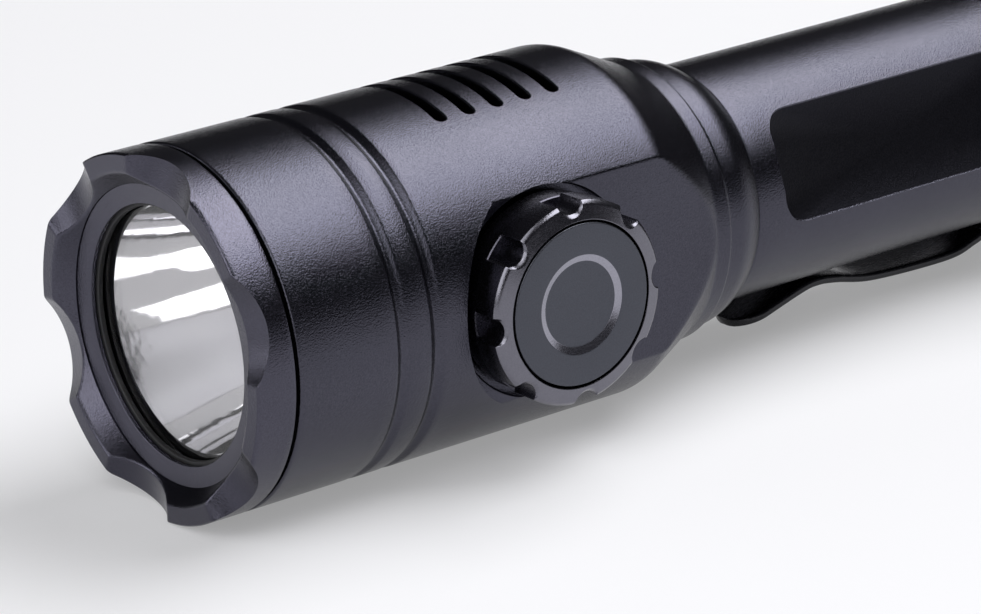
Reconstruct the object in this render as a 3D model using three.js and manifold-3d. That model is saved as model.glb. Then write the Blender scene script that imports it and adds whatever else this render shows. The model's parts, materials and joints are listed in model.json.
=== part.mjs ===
// Tactical flashlight with a side selector knob, as an assembly of separate solids.
//
// Units are millimetres. The light is modelled along its beam axis: y = 0 is the plane of the
// bezel's crests, +Y runs to the tail, +X points out of the selector knob and +Z is up.
// The outer group then puts the origin under the middle of the light, on the surface it lies on.
// LatheGeometry turns a profile of [radius, station] points round the Y axis.

import * as THREE from "three";
import { mergeVertices } from "three/addons/utils/BufferGeometryUtils.js";
import Module from "manifold-3d";

const wasm = await Module();
wasm.setup();

// ---------------------------------------------------------------- driving dimensions

// Clearances
const SEAT = 0.15; // between two faces that are clamped or glued together
const RUN = 0.3; // between a piece and the bore that it turns, slides or slips in

const OVERCUT = 1; // how far a cutter runs on past the surface that it opens

// Facets in a full turn
const HEXAGON = 6;
const SMALL = 12;
const COARSE = 16;
const MEDIUM = 24;
const FINE = 40;

// Bezel
const HEAD_RADIUS = 20;
const BEZEL_LENGTH = 4.65;
const BEZEL_WALL = 3.65;
const BEZEL_LIP_WIDTH = 1.55;
const BEZEL_LIP_DEPTH = 1.9;
const BEZEL_SKIRT_LENGTH = 6.4;
const BEZEL_SKIRT_WALL = 1.05;
const CREST_COUNT = 6;
const CREST_ANGLE = 47.3;
const SCALLOP_RADIUS = 9.05;
const SCALLOP_DEPTH = 1.8;
const SCALLOP_TILT = 10;
const BEZEL_GAP = 0.65;

// Window stack
const RING_FACE = 2.05;
const RING_THICKNESS = 0.9;
const RING_LAP = 1.5; // how far the ring covers the window's edge
const RING_SLOPE = 0.35;
const SEAL_THICKNESS = 0.65;
const SEAL_PROUD = 0.35;
const WINDOW_ROOM = 0.75; // between the window's edge and the bezel's bore
const WINDOW_THICKNESS = 2;

// Reflector and emitter
const REFLECTOR_ROOM = 1.25; // between the reflector's flange and the bezel's bore
const REFLECTOR_FLANGE_WIDTH = 1.8;
const REFLECTOR_HOLE = 3.6;
const REFLECTOR_DEPTH = 19.05;
const REFLECTOR_WALL = 1.2;
const REFLECTOR_FLANGE_THICKNESS = 1.5;
const CENTRING_THICKNESS = 0.8;
const CENTRING_RADIUS = 6.4;
const EMITTER_SIDE = 5;
const EMITTER_THICKNESS = 0.65;
const DOME_RADIUS = 1.9;
const LED_BOARD_RADIUS = 9.5;
const LED_BOARD_THICKNESS = 1.55;

// Head shell
const HEAD_REACH = 16.65; // from the knob's axis to the start of the cone
const SHELF_THICKNESS = 4;
const SPIGOT_STOP = 0.6; // the step that the tube's front end meets
const GROOVES = [
  { setback: 13.15, width: 1.9, depth: 0.4 },
  { setback: 17.6, width: 2.05, depth: 0.45 },
];
const SLOT_COUNT = 5;
const SLOT_LEAD = 5.9; // from the first slot to the knob's axis
const SLOT_PITCH = 3.77;
const SLOT_WIDTH = 1.4;
const SLOT_SPAN = 48;
const SLOT_DEPTH = 3.8;
const CONE_LENGTH = 7.85;
const COLLAR_WALL = 3.2;
const COLLAR_LENGTH = 2.05;
const STEP_WALL = 2.4;
const STEP_LENGTH = 2.25;
const BEAD_LENGTH = 4;
const BEAD_END_WALL = 0.8;
const BEAD_BULGE = 0.55;

// Side flat and selector knob
const FLAT_WALL = 4;
const FLAT_MARGIN = 1.2; // between the recess and the flat's round front end
const KNOB_SETBACK = 7.75; // from the shelf to the knob's axis
const KNOB_RECESS_DEPTH = 1.2;
const KNOB_RIM = 2;
const KNOB_ROOM = 0.4; // between the knob and its recess
const KNOB_BASE_STEP = 0.3;
const KNOB_BASE_HEIGHT = 2.7;
const KNOB_CHAMFER = 0.35;
const KNOB_FACE_DROP = 0.5; // the face slopes down from the bore to the chamfer
const KNOB_WEB = 2.1;
const NOTCH_COUNT = 8;
const NOTCH_RADIUS = 1.67;
const NOTCH_DEPTH = 1.2;
const NOTCH_PHASE = -3;
const WASHER_INSET = 1.4;
const WASHER_THICKNESS = 0.45;
const HUB_STEM_WALL = 1.1;
const HUB_LIP = 1;
const HUB_STEM_PROUD = 0.4;
const HUB_TOP_PROUD = 0.2;
const CIRCLIP_WIDTH = 2.15;
const CIRCLIP_THICKNESS = 0.6;
const MAGNET_RADIUS = 1.5;
const MAGNET_THICKNESS = 1.3;

// Side button
const BUTTON_THICKNESS = 2.7;
const BUTTON_DISH_RADIUS = 5.5;
const BUTTON_DISH_SLOPE = 0.85; // width of the slope round the dish
const BUTTON_DISH_DEPTH = 0.35;
const BUTTON_TRAVEL = 0.8;
const BUTTON_SPRING_WIRE = 0.3;
const BUTTON_REST_GAP = 0.25; // left between the pressed button and the hub
const BUTTON_WALL = 1.2;
const BUTTON_POCKET_ROOM = 0.4; // between the pocket and the circlip
const BUTTON_POCKET_DEPTH = 1.2;
const PLUNGER_RADIUS = 2.6;
const PLUNGER_GROOVE_DEPTH = 0.7;
const PLUNGER_GROOVE_WIDTH = 1.1;
const PLUNGER_GROOVE_SETBACK = 3.2;

// Electronics
const CONTROL_BOARD_THICKNESS = 1.2;
const CONTROL_BOARD_LENGTH = 13;
const CONTROL_BOARD_EDGE = 0.32; // between the board's corners and the bore
const TACT_SIDE = 5;
const TACT_THICKNESS = 2.1;
const TACT_STEM = 1.3;
const TACT_STEM_RADIUS = 1.6;
const SENSOR = { x: 0.8, y: 2.2, z: 1.8, insetY: 2, insetZ: 2.2 };
const WIRE_RADIUS = 0.65;
const WIRE_ORBIT = 7.6;
const WIRE_ANGLE = 20;
const DRIVER_SETBACK = 3.6; // behind the control board
const DRIVER_THICKNESS = 1.2;
const INDUCTOR_RADIUS = 3.2;
const INDUCTOR_HEIGHT = 3.7;
const INDUCTOR_PLACE = [1, 5.5];
const CHIP_SIDE = 6;
const CHIP_HEIGHT = 1.2;
const CHIP_PLACE = [1, -5];
const DRIVER_RING_THICKNESS = 1.8;
const DRIVER_RING_WALL = 2.7;
const CONTACT_RADIUS = 3;
const CONTACT_LENGTH = 3.4;
const INSULATOR_HEIGHT = 1.3;

// Cell and battery tube
const CELL_RADIUS = 10.75;
const CELL_LENGTH = 76;
const CELL_NUB_RADIUS = 3.2;
const CELL_NUB_HEIGHT = 0.8;
const SPIGOT_WALL = 1.85;
const TUBE_STEP = 0.95;
const TUBE_SEAM = 0.35;
const FRONT_SPIGOT = 14.75;
const REAR_SPIGOT = 7.5;
const CELL_OVERHANG = 1.75; // how far the cell runs on behind the tube's rear seam
const SPIGOT_GROOVE_DEPTH = 0.75;
const SPIGOT_GROOVE_WIDTH = 1.4;
const SPIGOT_RING_SECTION = 0.42;
const NECK_RING_SETBACK = 2.5;
const TAIL_RING_SETBACK = 2;
const TUBE_COLLAR_STEP = 1.15;
const TUBE_COLLAR_SLOPE = 1;
const PANEL_ANGLE = 18.2;
const PANEL_WALL = 1.05;
const PANEL_HALF_WIDTH = 6.6;
const PANEL_FRONT_MARGIN = 3.65;
const PANEL_REAR_MARGIN = 2.7;
const PANEL_CORNER = 3.4;

// Pocket clip
const CLIP_WIDTH = 7.5;
const CLIP_THICKNESS = 1.1;
const CLIP_PAD_WALL = 1.1;
const CLIP_PAD_LEAD = 2;
const CLIP_ROOT_MARGIN = 1;
const CLIP_ROOT_LENGTH = 9.4;
const CLIP_TOUCH = 38;
const CLIP_TIP_LENGTH = 11.5;
const CLIP_ARCH = 1.9;
const CLIP_TIP_LIFT = 2.9;
const CLIP_SCREW_PITCH = 5;
const SCREW_HEAD_RADIUS = 1.9;
const SCREW_HEAD_HEIGHT = 1.2;
const SCREW_SHANK_RADIUS = 0.9;
const SCREW_SHANK_LENGTH = 3;
const SCREW_SOCKET_RADIUS = 0.9;
const SCREW_SOCKET_DEPTH = 0.7;

// Tail cap
const CAP_SEAM = 0.4;
const CAP_WALL = 2.4;
const CAP_LIP = 0.8;
const CAP_LIP_LENGTH = 1.2;
const FLUTE_COUNT = 12;
const FLUTE_RADIUS = 2.4;
const FLUTE_DEPTH = 0.7;
const FLUTE_START = 3.4;
const FLUTE_LENGTH = 14;
const RIM_DEPTH = 5;
const RIM_WALL = 5.1;
const WING_GAP = 16;
const LANYARD_HOLE = 1.5;
const LANYARD_INSET = 2.5;
const END_WALL = 3;
const SWITCH_ROOM = 0.4;
const TAIL_SPRING_TIP = 4.2;
const TAIL_SPRING_BASE = 6.2;
const TAIL_SPRING_WIRE = 0.5;
const TAIL_RING_THICKNESS = 1.9;
const TAIL_RING_WALL = 2.3;
const TAIL_RING_GAP = 0.95; // behind the tube's rear end
const TAIL_BOARD_LEDGE = 1.5;
const TAIL_BOARD_THICKNESS = 1.4;
const TAIL_SWITCH_SIDE = 7;
const TAIL_SWITCH_HEIGHT = 4.3;
const TAIL_SWITCH_STEM = 0.9;
const TAIL_BUTTON_RADIUS = 7.4;
const TAIL_BUTTON_PROUD = 2.2;
const TAIL_FLANGE_WIDTH = 2.1;
const TAIL_FLANGE_THICKNESS = 1.4;
const TAIL_POST_RADIUS = 2;
const TAIL_POST_LENGTH = 0.2;
const TAIL_TRAVEL = 0.8;
const TAIL_BUTTON_WIRE = 0.4;

// ---------------------------------------------------------------- radii, from the inside out

// Front of the head
const bezelBore = HEAD_RADIUS - BEZEL_WALL;
const lipRadius = bezelBore + BEZEL_LIP_WIDTH;
const skirtRadius = bezelBore + BEZEL_SKIRT_WALL;
const bezelThreadBore = skirtRadius + RUN;
const windowRadius = bezelBore - WINDOW_ROOM;
const ringBore = windowRadius - RING_LAP;
const sealBore = ringBore - SEAL_PROUD;
const reflectorFlange = bezelBore - REFLECTOR_ROOM;
const reflectorMouth = reflectorFlange - REFLECTOR_FLANGE_WIDTH;
const reflectorBore = reflectorFlange + RUN;

// Battery tube, round the cell
const cellBore = CELL_RADIUS + RUN;
const spigotRadius = cellBore + SPIGOT_WALL;
const spigotBore = spigotRadius + RUN;
const tubeRadius = spigotRadius + TUBE_STEP;
const tubeCollarRadius = tubeRadius + TUBE_COLLAR_STEP;
const panelPlane = cellBore + PANEL_WALL;
const clipPadPlane = spigotRadius + CLIP_PAD_WALL;

// Rear of the head, round the tube's front spigot
const electronicsBore = spigotBore - SPIGOT_STOP;
const driverRadius = electronicsBore - RUN;
const collarRadius = spigotBore + COLLAR_WALL;
const stepRadius = spigotBore + STEP_WALL;
const beadEndRadius = spigotBore + BEAD_END_WALL;
const flatDistance = electronicsBore + FLAT_WALL;

// Tail cap, round the tube's rear spigot
const capRadius = spigotBore + CAP_WALL;
const rimBore = capRadius - RIM_WALL;
const lanyardOrbit = rimBore + LANYARD_INSET;
const tailBoardRadius = spigotBore - TAIL_BOARD_LEDGE;
const tailBoardBore = tailBoardRadius + SEAT;
const tailFlangeRadius = TAIL_BUTTON_RADIUS + TAIL_FLANGE_WIDTH;
const switchBore = tailFlangeRadius + SWITCH_ROOM;

// Knob, round the plunger and the button
const plungerBore = PLUNGER_RADIUS + RUN;
const hubStemRadius = plungerBore + HUB_STEM_WALL;
const hubRadius = hubStemRadius + HUB_LIP;
const hubBore = hubRadius + RUN;
const circlipBore = hubRadius + SEAT;
const circlipRadius = circlipBore + CIRCLIP_WIDTH;
const buttonPocket = circlipRadius + BUTTON_POCKET_ROOM;
const buttonRadius = buttonPocket + BUTTON_WALL;
const buttonBore = buttonRadius + RUN;
const knobRadius = buttonBore + KNOB_RIM;
const knobBaseRadius = knobRadius - KNOB_BASE_STEP;
const knobRecessRadius = knobRadius + KNOB_ROOM;
const flatFrontRadius = knobRecessRadius + FLAT_MARGIN;
const washerRadius = knobBaseRadius - WASHER_INSET;
const magnetOrbit = (hubBore + knobBaseRadius) / 2;

// ---------------------------------------------------------------- stations along the beam axis

const headFront = BEZEL_LENGTH + BEZEL_GAP;
const skirtEnd = BEZEL_LENGTH + BEZEL_SKIRT_LENGTH;
const ringRear = RING_FACE + RING_THICKNESS;
const sealFace = ringRear + SEAT / 2;
const windowFace = sealFace + SEAL_THICKNESS + SEAT / 2;
const windowRear = windowFace + WINDOW_THICKNESS;
const reflectorFace = windowRear + SEAT;
const reflectorBase = reflectorFace + REFLECTOR_DEPTH;
const centringFace = reflectorBase + SEAT;
const ledBoardFace = centringFace + CENTRING_THICKNESS + SEAT;
const shelfFront = ledBoardFace + LED_BOARD_THICKNESS + SEAT;
const shelfRear = shelfFront + SHELF_THICKNESS;
const knobStation = shelfRear + KNOB_SETBACK;
const headEnd = knobStation + HEAD_REACH;
const collarStart = headEnd + CONE_LENGTH;
const stepStart = collarStart + COLLAR_LENGTH;
const beadStart = stepStart + STEP_LENGTH;
const headRear = beadStart + BEAD_LENGTH;
const driverFront = knobStation + CONTROL_BOARD_LENGTH / 2 + DRIVER_SETBACK;
const driverRear = driverFront + DRIVER_THICKNESS;
const contactFront = driverRear + SEAT;
const contactEnd = contactFront + CONTACT_LENGTH;
const cellFront = contactEnd + RUN;
const cellRear = cellFront + CELL_LENGTH;
const tubeFront = headRear + TUBE_SEAM;
const tubeRear = cellRear - CELL_OVERHANG;
const spigotFront = tubeFront - FRONT_SPIGOT;
const spigotRear = tubeRear + REAR_SPIGOT;
const neckRingStation = tubeFront - NECK_RING_SETBACK;
const tailRingStation = tubeRear + TAIL_RING_SETBACK;
const clipRoot = tubeRear - CLIP_ROOT_MARGIN;
const clipBend = clipRoot - CLIP_ROOT_LENGTH;
const clipContact = clipRoot - CLIP_TOUCH;
const clipTip = clipContact - CLIP_TIP_LENGTH;
const tubeCollarStart = clipBend - CLIP_ROOT_MARGIN;
const panelFront = tubeFront + PANEL_FRONT_MARGIN;
const panelRear = tubeCollarStart - TUBE_COLLAR_SLOPE - PANEL_REAR_MARGIN;
const tailRingFace = spigotRear + TAIL_RING_GAP;
const tailBoardFace = tailRingFace + TAIL_RING_THICKNESS + SEAT;
const tailBoardRear = tailBoardFace + TAIL_BOARD_THICKNESS;
const tailSwitchFront = tailBoardRear + SEAT;
const tailSwitchRear = tailSwitchFront + TAIL_SWITCH_HEIGHT;
const tailStemRear = tailSwitchRear + TAIL_SWITCH_STEM;
const tailPostEnd = tailStemRear + TAIL_TRAVEL + SEAT;
const tailFlangeFront = tailPostEnd + TAIL_POST_LENGTH;
const tailFlangeRear = tailFlangeFront + TAIL_FLANGE_THICKNESS;
const endWallFace = tailFlangeRear + RUN;
const rimFloor = endWallFace + END_WALL;
const capFront = tubeRear + CAP_SEAM;
const capRear = rimFloor + RIM_DEPTH;

// ---------------------------------------------------------------- heights along the knob's axis

const recessFloor = flatDistance - KNOB_RECESS_DEPTH;
const hubSeat = recessFloor + SEAT;
const washerTop = hubSeat + WASHER_THICKNESS;
const knobBottom = washerTop + SEAT;
const knobShoulder = knobBottom + KNOB_BASE_HEIGHT;
const webTop = knobBottom + KNOB_WEB;
const circlipBottom = webTop + RUN;
const circlipTop = circlipBottom + CIRCLIP_THICKNESS;
const hubTop = circlipTop + HUB_TOP_PROUD;
const buttonBottom = hubTop + BUTTON_TRAVEL + BUTTON_REST_GAP;
const buttonPocketTop = buttonBottom + BUTTON_POCKET_DEPTH;
const knobFace = buttonBottom + BUTTON_THICKNESS;
const knobEdge = knobFace - KNOB_FACE_DROP;
const plungerRingHeight = buttonBottom - PLUNGER_GROOVE_SETBACK;
const hubStemEnd = electronicsBore - HUB_STEM_PROUD;
const tactTop = hubStemEnd - SEAT;
const tactBottom = tactTop - TACT_THICKNESS;
const tactStemTop = tactTop + TACT_STEM;
const plungerTip = tactStemTop + BUTTON_TRAVEL + SEAT;
const controlBoardFace = tactBottom - SEAT;
const controlBoardReach = electronicsBore - CONTROL_BOARD_EDGE;
const controlBoardWidth = 2 * Math.sqrt(controlBoardReach ** 2 - controlBoardFace ** 2);

// ---------------------------------------------------------------- geometry helpers

const radians = THREE.MathUtils.degToRad;

// A closed geometry as a manifold-3d solid.
function solidOf(geometry) {
  geometry.deleteAttribute("normal");
  geometry.deleteAttribute("uv");
  const merged = mergeVertices(geometry, 1e-4);
  return new wasm.Manifold(
    new wasm.Mesh({
      numProp: 3,
      vertProperties: merged.attributes.position.array,
      triVerts: new Uint32Array(merged.index.array),
    }),
  );
}

// A manifold-3d solid as a geometry.
function geometryOf(solid) {
  const mesh = solid.getMesh();
  const geometry = new THREE.BufferGeometry();
  geometry.setAttribute("position", new THREE.BufferAttribute(mesh.vertProperties, 3));
  geometry.setIndex(new THREE.BufferAttribute(mesh.triVerts, 1));
  return geometry.toNonIndexed();
}

// Twice the signed area of a profile tells which way round it runs.
function signedArea(points) {
  return points.reduce((sum, [r, y], i) => {
    const [nextR, nextY] = points[(i + 1) % points.length];
    return sum + r * nextY - nextR * y;
  }, 0);
}

// A profile of [radius, station] points turned round the Y axis.
function lathe(points, segments = MEDIUM) {
  const onAxis = points[0][0] === 0 && points.at(-1)[0] === 0;
  const forward = signedArea(points) > 0 ? points : [...points].reverse();
  const closed = onAxis ? forward : [...forward, forward[0]];
  const outline = closed.map(([r, y]) => new THREE.Vector2(r, y));
  return solidOf(new THREE.LatheGeometry(outline, segments));
}

// A plain disc or a washer between two stations.
function ring(inner, outer, from, to, segments = MEDIUM) {
  const profile = [
    [inner, from],
    [outer, from],
    [outer, to],
    [inner, to],
  ];
  return lathe(profile, segments);
}

// An O-ring: a round section of sectionRadius turned at meanRadius.
function oRing(meanRadius, station, sectionRadius, segments) {
  const sides = 6;
  const profile = Array.from({ length: sides }, (_, i) => {
    const turn = (2 * Math.PI * i) / sides;
    return [meanRadius + sectionRadius * Math.cos(turn), station + sectionRadius * Math.sin(turn)];
  });
  return lathe(profile, segments);
}

// A block from its size and its centre.
function block(size, centre) {
  return solidOf(new THREE.BoxGeometry(...size).translate(...centre));
}

// A round bar between two points.
function bar(radius, from, to, segments = COARSE) {
  const start = new THREE.Vector3(...from);
  const end = new THREE.Vector3(...to);
  const along = end.clone().sub(start);
  const up = new THREE.Vector3(0, 1, 0);
  const turn = new THREE.Quaternion().setFromUnitVectors(up, along.clone().normalize());
  const geometry = new THREE.CylinderGeometry(radius, radius, along.length(), segments);
  const middle = start.add(end).multiplyScalar(0.5);
  return solidOf(geometry.applyQuaternion(turn).translate(middle.x, middle.y, middle.z));
}

// A coil of round wire about the Y axis.
class Helix extends THREE.Curve {
  constructor(startRadius, endRadius, from, to, turns) {
    super();
    Object.assign(this, { startRadius, endRadius, from, to, turns });
  }

  getPoint(t, target = new THREE.Vector3()) {
    const radius = THREE.MathUtils.lerp(this.startRadius, this.endRadius, t);
    const turn = 2 * Math.PI * this.turns * t;
    const y = THREE.MathUtils.lerp(this.from, this.to, t);
    return target.set(radius * Math.cos(turn), y, radius * Math.sin(turn));
  }
}

function coil(startRadius, endRadius, from, to, turns, wireRadius) {
  const path = new Helix(startRadius, endRadius, from + wireRadius, to - wireRadius, turns);
  const section = new THREE.Shape().absarc(0, 0, wireRadius, 0, 2 * Math.PI);
  const stepsPerTurn = 12;
  const options = {
    steps: Math.ceil(turns * stepsPerTurn),
    curveSegments: 3,
    extrudePath: path,
    bevelEnabled: false,
  };
  return solidOf(new THREE.ExtrudeGeometry(section, options));
}

// The same cutter repeated round the Y axis, starting at an angle from +X towards +Z.
function roundPattern(makeGeometry, count, firstAngle) {
  const cutters = Array.from({ length: count }, (_, i) => {
    const angle = radians(firstAngle + (360 * i) / count);
    return solidOf(makeGeometry().rotateY(-angle));
  });
  return cutters.reduce((all, cutter) => all.add(cutter));
}

// A quarter-round or arc between two profile points, bulging out by its sagitta.
function arcBetween([r0, y0], [r1, y1], sagitta, steps) {
  const length = Math.hypot(r1 - r0, y1 - y0);
  const outward = [(y1 - y0) / length, -(r1 - r0) / length];
  return Array.from({ length: steps + 1 }, (_, i) => {
    const t = i / steps;
    const lift = 4 * sagitta * t * (1 - t);
    return [r0 + (r1 - r0) * t + outward[0] * lift, y0 + (y1 - y0) * t + outward[1] * lift];
  });
}

// ---------------------------------------------------------------- finishes

function finish(color, roughness, metalness) {
  return () => new THREE.MeshStandardMaterial({ color, roughness, metalness });
}

const anodised = finish(0x34333c, 0.48, 0.85);
const blackSteel = finish(0x101013, 0.25, 0.8);
const rubber = finish(0x0b0b0c, 0.8, 0);
const mirror = finish(0xd9dbe0, 0.06, 1);
const glass = finish(0xeaf2f6, 0.05, 0);
const brass = finish(0xc39b4d, 0.35, 1);
const steel = finish(0xa9abb0, 0.35, 1);
const circuitBoard = finish(0x1f4d36, 0.6, 0.05);
const whitePlastic = finish(0xeeeeea, 0.6, 0);
const blackPlastic = finish(0x18181a, 0.55, 0);
const emitterYellow = finish(0xe2c455, 0.4, 0);
const cellSleeve = finish(0x2c4c78, 0.45, 0);
const redSleeve = finish(0xa8201c, 0.5, 0);
const ferrite = finish(0x2d2d30, 0.7, 0.1);

const flashlight = new THREE.Group();
const knobGroup = new THREE.Group();

function piece(name, solid, material, parent = flashlight) {
  const mesh = new THREE.Mesh(geometryOf(solid), material());
  mesh.name = name;
  parent.add(mesh);
}

// ---------------------------------------------------------------- bezel and window

function scallopCutter() {
  const reach = 14;
  const middleRadius = (HEAD_RADIUS + bezelBore) / 2;
  const geometry = new THREE.CylinderGeometry(SCALLOP_RADIUS, SCALLOP_RADIUS, reach, 60);
  geometry.rotateZ(-Math.PI / 2);
  geometry.rotateZ(radians(SCALLOP_TILT));
  return geometry.translate(middleRadius, SCALLOP_DEPTH - SCALLOP_RADIUS, 0);
}

function strikeBezel() {
  const edge = 0.3;
  const profile = [
    [lipRadius, 0],
    [HEAD_RADIUS - edge, 0],
    [HEAD_RADIUS, edge],
    [HEAD_RADIUS, BEZEL_LENGTH - edge],
    [HEAD_RADIUS - edge, BEZEL_LENGTH],
    [skirtRadius, BEZEL_LENGTH],
    [skirtRadius, skirtEnd],
    [bezelBore, skirtEnd],
    [bezelBore, BEZEL_LIP_DEPTH],
  ];
  const firstScallop = CREST_ANGLE + 180 / CREST_COUNT;
  const scallops = roundPattern(scallopCutter, CREST_COUNT, firstScallop);
  return lathe(profile, FINE).subtract(scallops);
}

function windowRing() {
  const outer = bezelBore - SEAT;
  const profile = [
    [outer, RING_FACE],
    [outer, ringRear],
    [ringBore, ringRear],
    [ringBore, RING_FACE + RING_SLOPE],
  ];
  return lathe(profile, FINE);
}

function windowDisc() {
  const profile = [
    [0, windowFace],
    [windowRadius, windowFace],
    [windowRadius, windowRear],
    [0, windowRear],
  ];
  return lathe(profile);
}

function bezelGasket() {
  const margin = 0.1;
  const setBack = 0.8;
  const front = BEZEL_LENGTH + margin;
  return ring(skirtRadius + SEAT, HEAD_RADIUS - setBack, front, headFront - margin, FINE);
}

piece("strike_bezel", strikeBezel(), anodised);
piece("window_ring", windowRing(), anodised);
piece("window_seal", ring(sealBore, windowRadius, sealFace, sealFace + SEAL_THICKNESS), rubber);
piece("window", windowDisc(), glass);
piece("bezel_gasket", bezelGasket(), rubber);

// ---------------------------------------------------------------- reflector and emitter

// The mirror is a paraboloid: radius squared falls evenly from the mouth to the rear hole.
function mirrorCurve(steps, offset) {
  const range = reflectorMouth ** 2 - REFLECTOR_HOLE ** 2;
  return Array.from({ length: steps + 1 }, (_, i) => {
    const radius = THREE.MathUtils.lerp(reflectorMouth, REFLECTOR_HOLE, i / steps);
    const fallen = (reflectorMouth ** 2 - radius ** 2) / range;
    return [radius + offset, reflectorFace + REFLECTOR_DEPTH * fallen];
  });
}

function reflector() {
  const flangeRear = reflectorFace + REFLECTOR_FLANGE_THICKNESS;
  const outside = mirrorCurve(5, REFLECTOR_WALL).filter(([, y]) => y > flangeRear);
  const shoulder = [outside[0][0] + REFLECTOR_WALL / 2, flangeRear];
  const profile = [
    ...mirrorCurve(9, 0).reverse(),
    [reflectorFlange, reflectorFace],
    [reflectorFlange, flangeRear],
    shoulder,
    ...outside,
  ];
  return lathe(profile, MEDIUM);
}

function ledEmitter() {
  const back = ledBoardFace - SEAT;
  const middle = back - EMITTER_THICKNESS / 2;
  const base = block([EMITTER_SIDE, EMITTER_THICKNESS, EMITTER_SIDE], [0, middle, 0]);
  const quarter = Array.from({ length: 6 }, (_, i) => {
    const turn = (Math.PI / 2) * (i / 5);
    return [DOME_RADIUS * Math.sin(turn), middle - DOME_RADIUS * Math.cos(turn)];
  });
  quarter[0][0] = 0;
  return base.add(lathe([...quarter, [0, middle]], COARSE));
}

function ledBoard() {
  const back = ledBoardFace + LED_BOARD_THICKNESS;
  const profile = [
    [0, ledBoardFace],
    [LED_BOARD_RADIUS, ledBoardFace],
    [LED_BOARD_RADIUS, back],
    [0, back],
  ];
  return lathe(profile);
}

function centringRing() {
  const bore = (EMITTER_SIDE / 2) * Math.SQRT2 + RUN;
  return ring(bore, CENTRING_RADIUS, centringFace, centringFace + CENTRING_THICKNESS, COARSE);
}

piece("reflector", reflector(), mirror);
piece("led_centring_ring", centringRing(), whitePlastic);
piece("led_emitter", ledEmitter(), emitterYellow);
piece("led_board", ledBoard(), circuitBoard);

// ---------------------------------------------------------------- head shell

function headOutline() {
  const edge = 0.4;
  const grooves = GROOVES.flatMap(({ setback, width, depth }) => {
    const start = headFront + setback - width / 2;
    return arcBetween([HEAD_RADIUS, start], [HEAD_RADIUS, start + width], -depth, 3);
  });
  const bead = arcBetween([stepRadius, beadStart], [beadEndRadius, headRear], BEAD_BULGE, 4);
  return [
    [bezelThreadBore, headFront],
    [HEAD_RADIUS - edge, headFront],
    [HEAD_RADIUS, headFront + edge],
    ...grooves,
    [HEAD_RADIUS, headEnd],
    [collarRadius, collarStart],
    [collarRadius, stepStart],
    [stepRadius, stepStart + edge],
    ...bead,
    [spigotBore, headRear],
  ];
}

function headBody() {
  const threadEnd = skirtEnd + RUN;
  const spigotSeat = spigotFront - RUN;
  const profile = [
    [0, shelfFront],
    [reflectorBore, shelfFront],
    [reflectorBore, threadEnd],
    [bezelThreadBore, threadEnd],
    ...headOutline(),
    [spigotBore, spigotSeat],
    [electronicsBore, spigotSeat],
    [electronicsBore, shelfRear],
    [0, shelfRear],
  ];
  return lathe(profile, FINE);
}

// A cutter across the beam axis, round the knob's axis, between two heights.
function knobAxisCutter(radius, from, to, segments) {
  return bar(radius, [from, knobStation, 0], [to, knobStation, 0], segments);
}

// The flat runs from an arc round the knob to the back of the head.
function flatCutter() {
  const outside = flatDistance + HEAD_RADIUS;
  const arc = knobAxisCutter(flatFrontRadius, flatDistance, outside, FINE);
  const length = headRear - knobStation + OVERCUT;
  const size = [HEAD_RADIUS, length, 2 * HEAD_RADIUS];
  const middle = [flatDistance + HEAD_RADIUS / 2, knobStation + length / 2, 0];
  return arc.add(block(size, middle));
}

function knobSeatCutter() {
  const outside = flatDistance + HEAD_RADIUS;
  const recess = knobAxisCutter(knobRecessRadius, recessFloor, outside, FINE);
  const bore = knobAxisCutter(hubStemRadius + SEAT, 0, outside, MEDIUM);
  return recess.add(bore);
}

// A cooling slot: a band round the top of the head, square in section, with round ends.
function slotCutter(station) {
  const floor = HEAD_RADIUS - SLOT_DEPTH;
  const outside = HEAD_RADIUS + OVERCUT;
  const endTrim = SLOT_WIDTH / 2 / HEAD_RADIUS;
  const from = radians(90 - SLOT_SPAN / 2) + endTrim;
  const to = radians(90 + SLOT_SPAN / 2) - endTrim;
  const sector = new THREE.Shape();
  sector.absarc(0, 0, outside, from, to, false);
  sector.absarc(0, 0, floor, to, from, true);
  const options = { depth: SLOT_WIDTH, bevelEnabled: false, curveSegments: 8 };
  const band = new THREE.ExtrudeGeometry(sector, options);
  band.rotateX(Math.PI / 2).translate(0, station + SLOT_WIDTH / 2, 0);
  const ends = [from, to].map((angle) => {
    const at = (radius) => [radius * Math.cos(angle), station, radius * Math.sin(angle)];
    return bar(SLOT_WIDTH / 2, at(floor), at(outside), SMALL);
  });
  return ends.reduce((all, end) => all.add(end), solidOf(band));
}

function wirePlace(side) {
  const angle = radians(180 + side * WIRE_ANGLE);
  return [WIRE_ORBIT * Math.cos(angle), WIRE_ORBIT * Math.sin(angle)];
}

function headShell() {
  let head = headBody().subtract(flatCutter()).subtract(knobSeatCutter());
  for (let i = 0; i < SLOT_COUNT; i += 1) {
    head = head.subtract(slotCutter(knobStation - SLOT_LEAD + i * SLOT_PITCH));
  }
  for (const side of [-1, 1]) {
    const [x, z] = wirePlace(side);
    const front = [x, shelfFront - OVERCUT, z];
    const rear = [x, shelfRear + OVERCUT, z];
    head = head.subtract(bar(WIRE_RADIUS + RUN, front, rear));
  }
  return head;
}

piece("head_shell", headShell(), anodised);

// ---------------------------------------------------------------- electronics in the head

function wire(side) {
  const [x, z] = wirePlace(side);
  return bar(WIRE_RADIUS, [x, shelfFront, z], [x, driverFront - SEAT, z], SMALL);
}

function controlBoard() {
  const size = [CONTROL_BOARD_THICKNESS, CONTROL_BOARD_LENGTH, controlBoardWidth];
  return block(size, [controlBoardFace - CONTROL_BOARD_THICKNESS / 2, knobStation, 0]);
}

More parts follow.
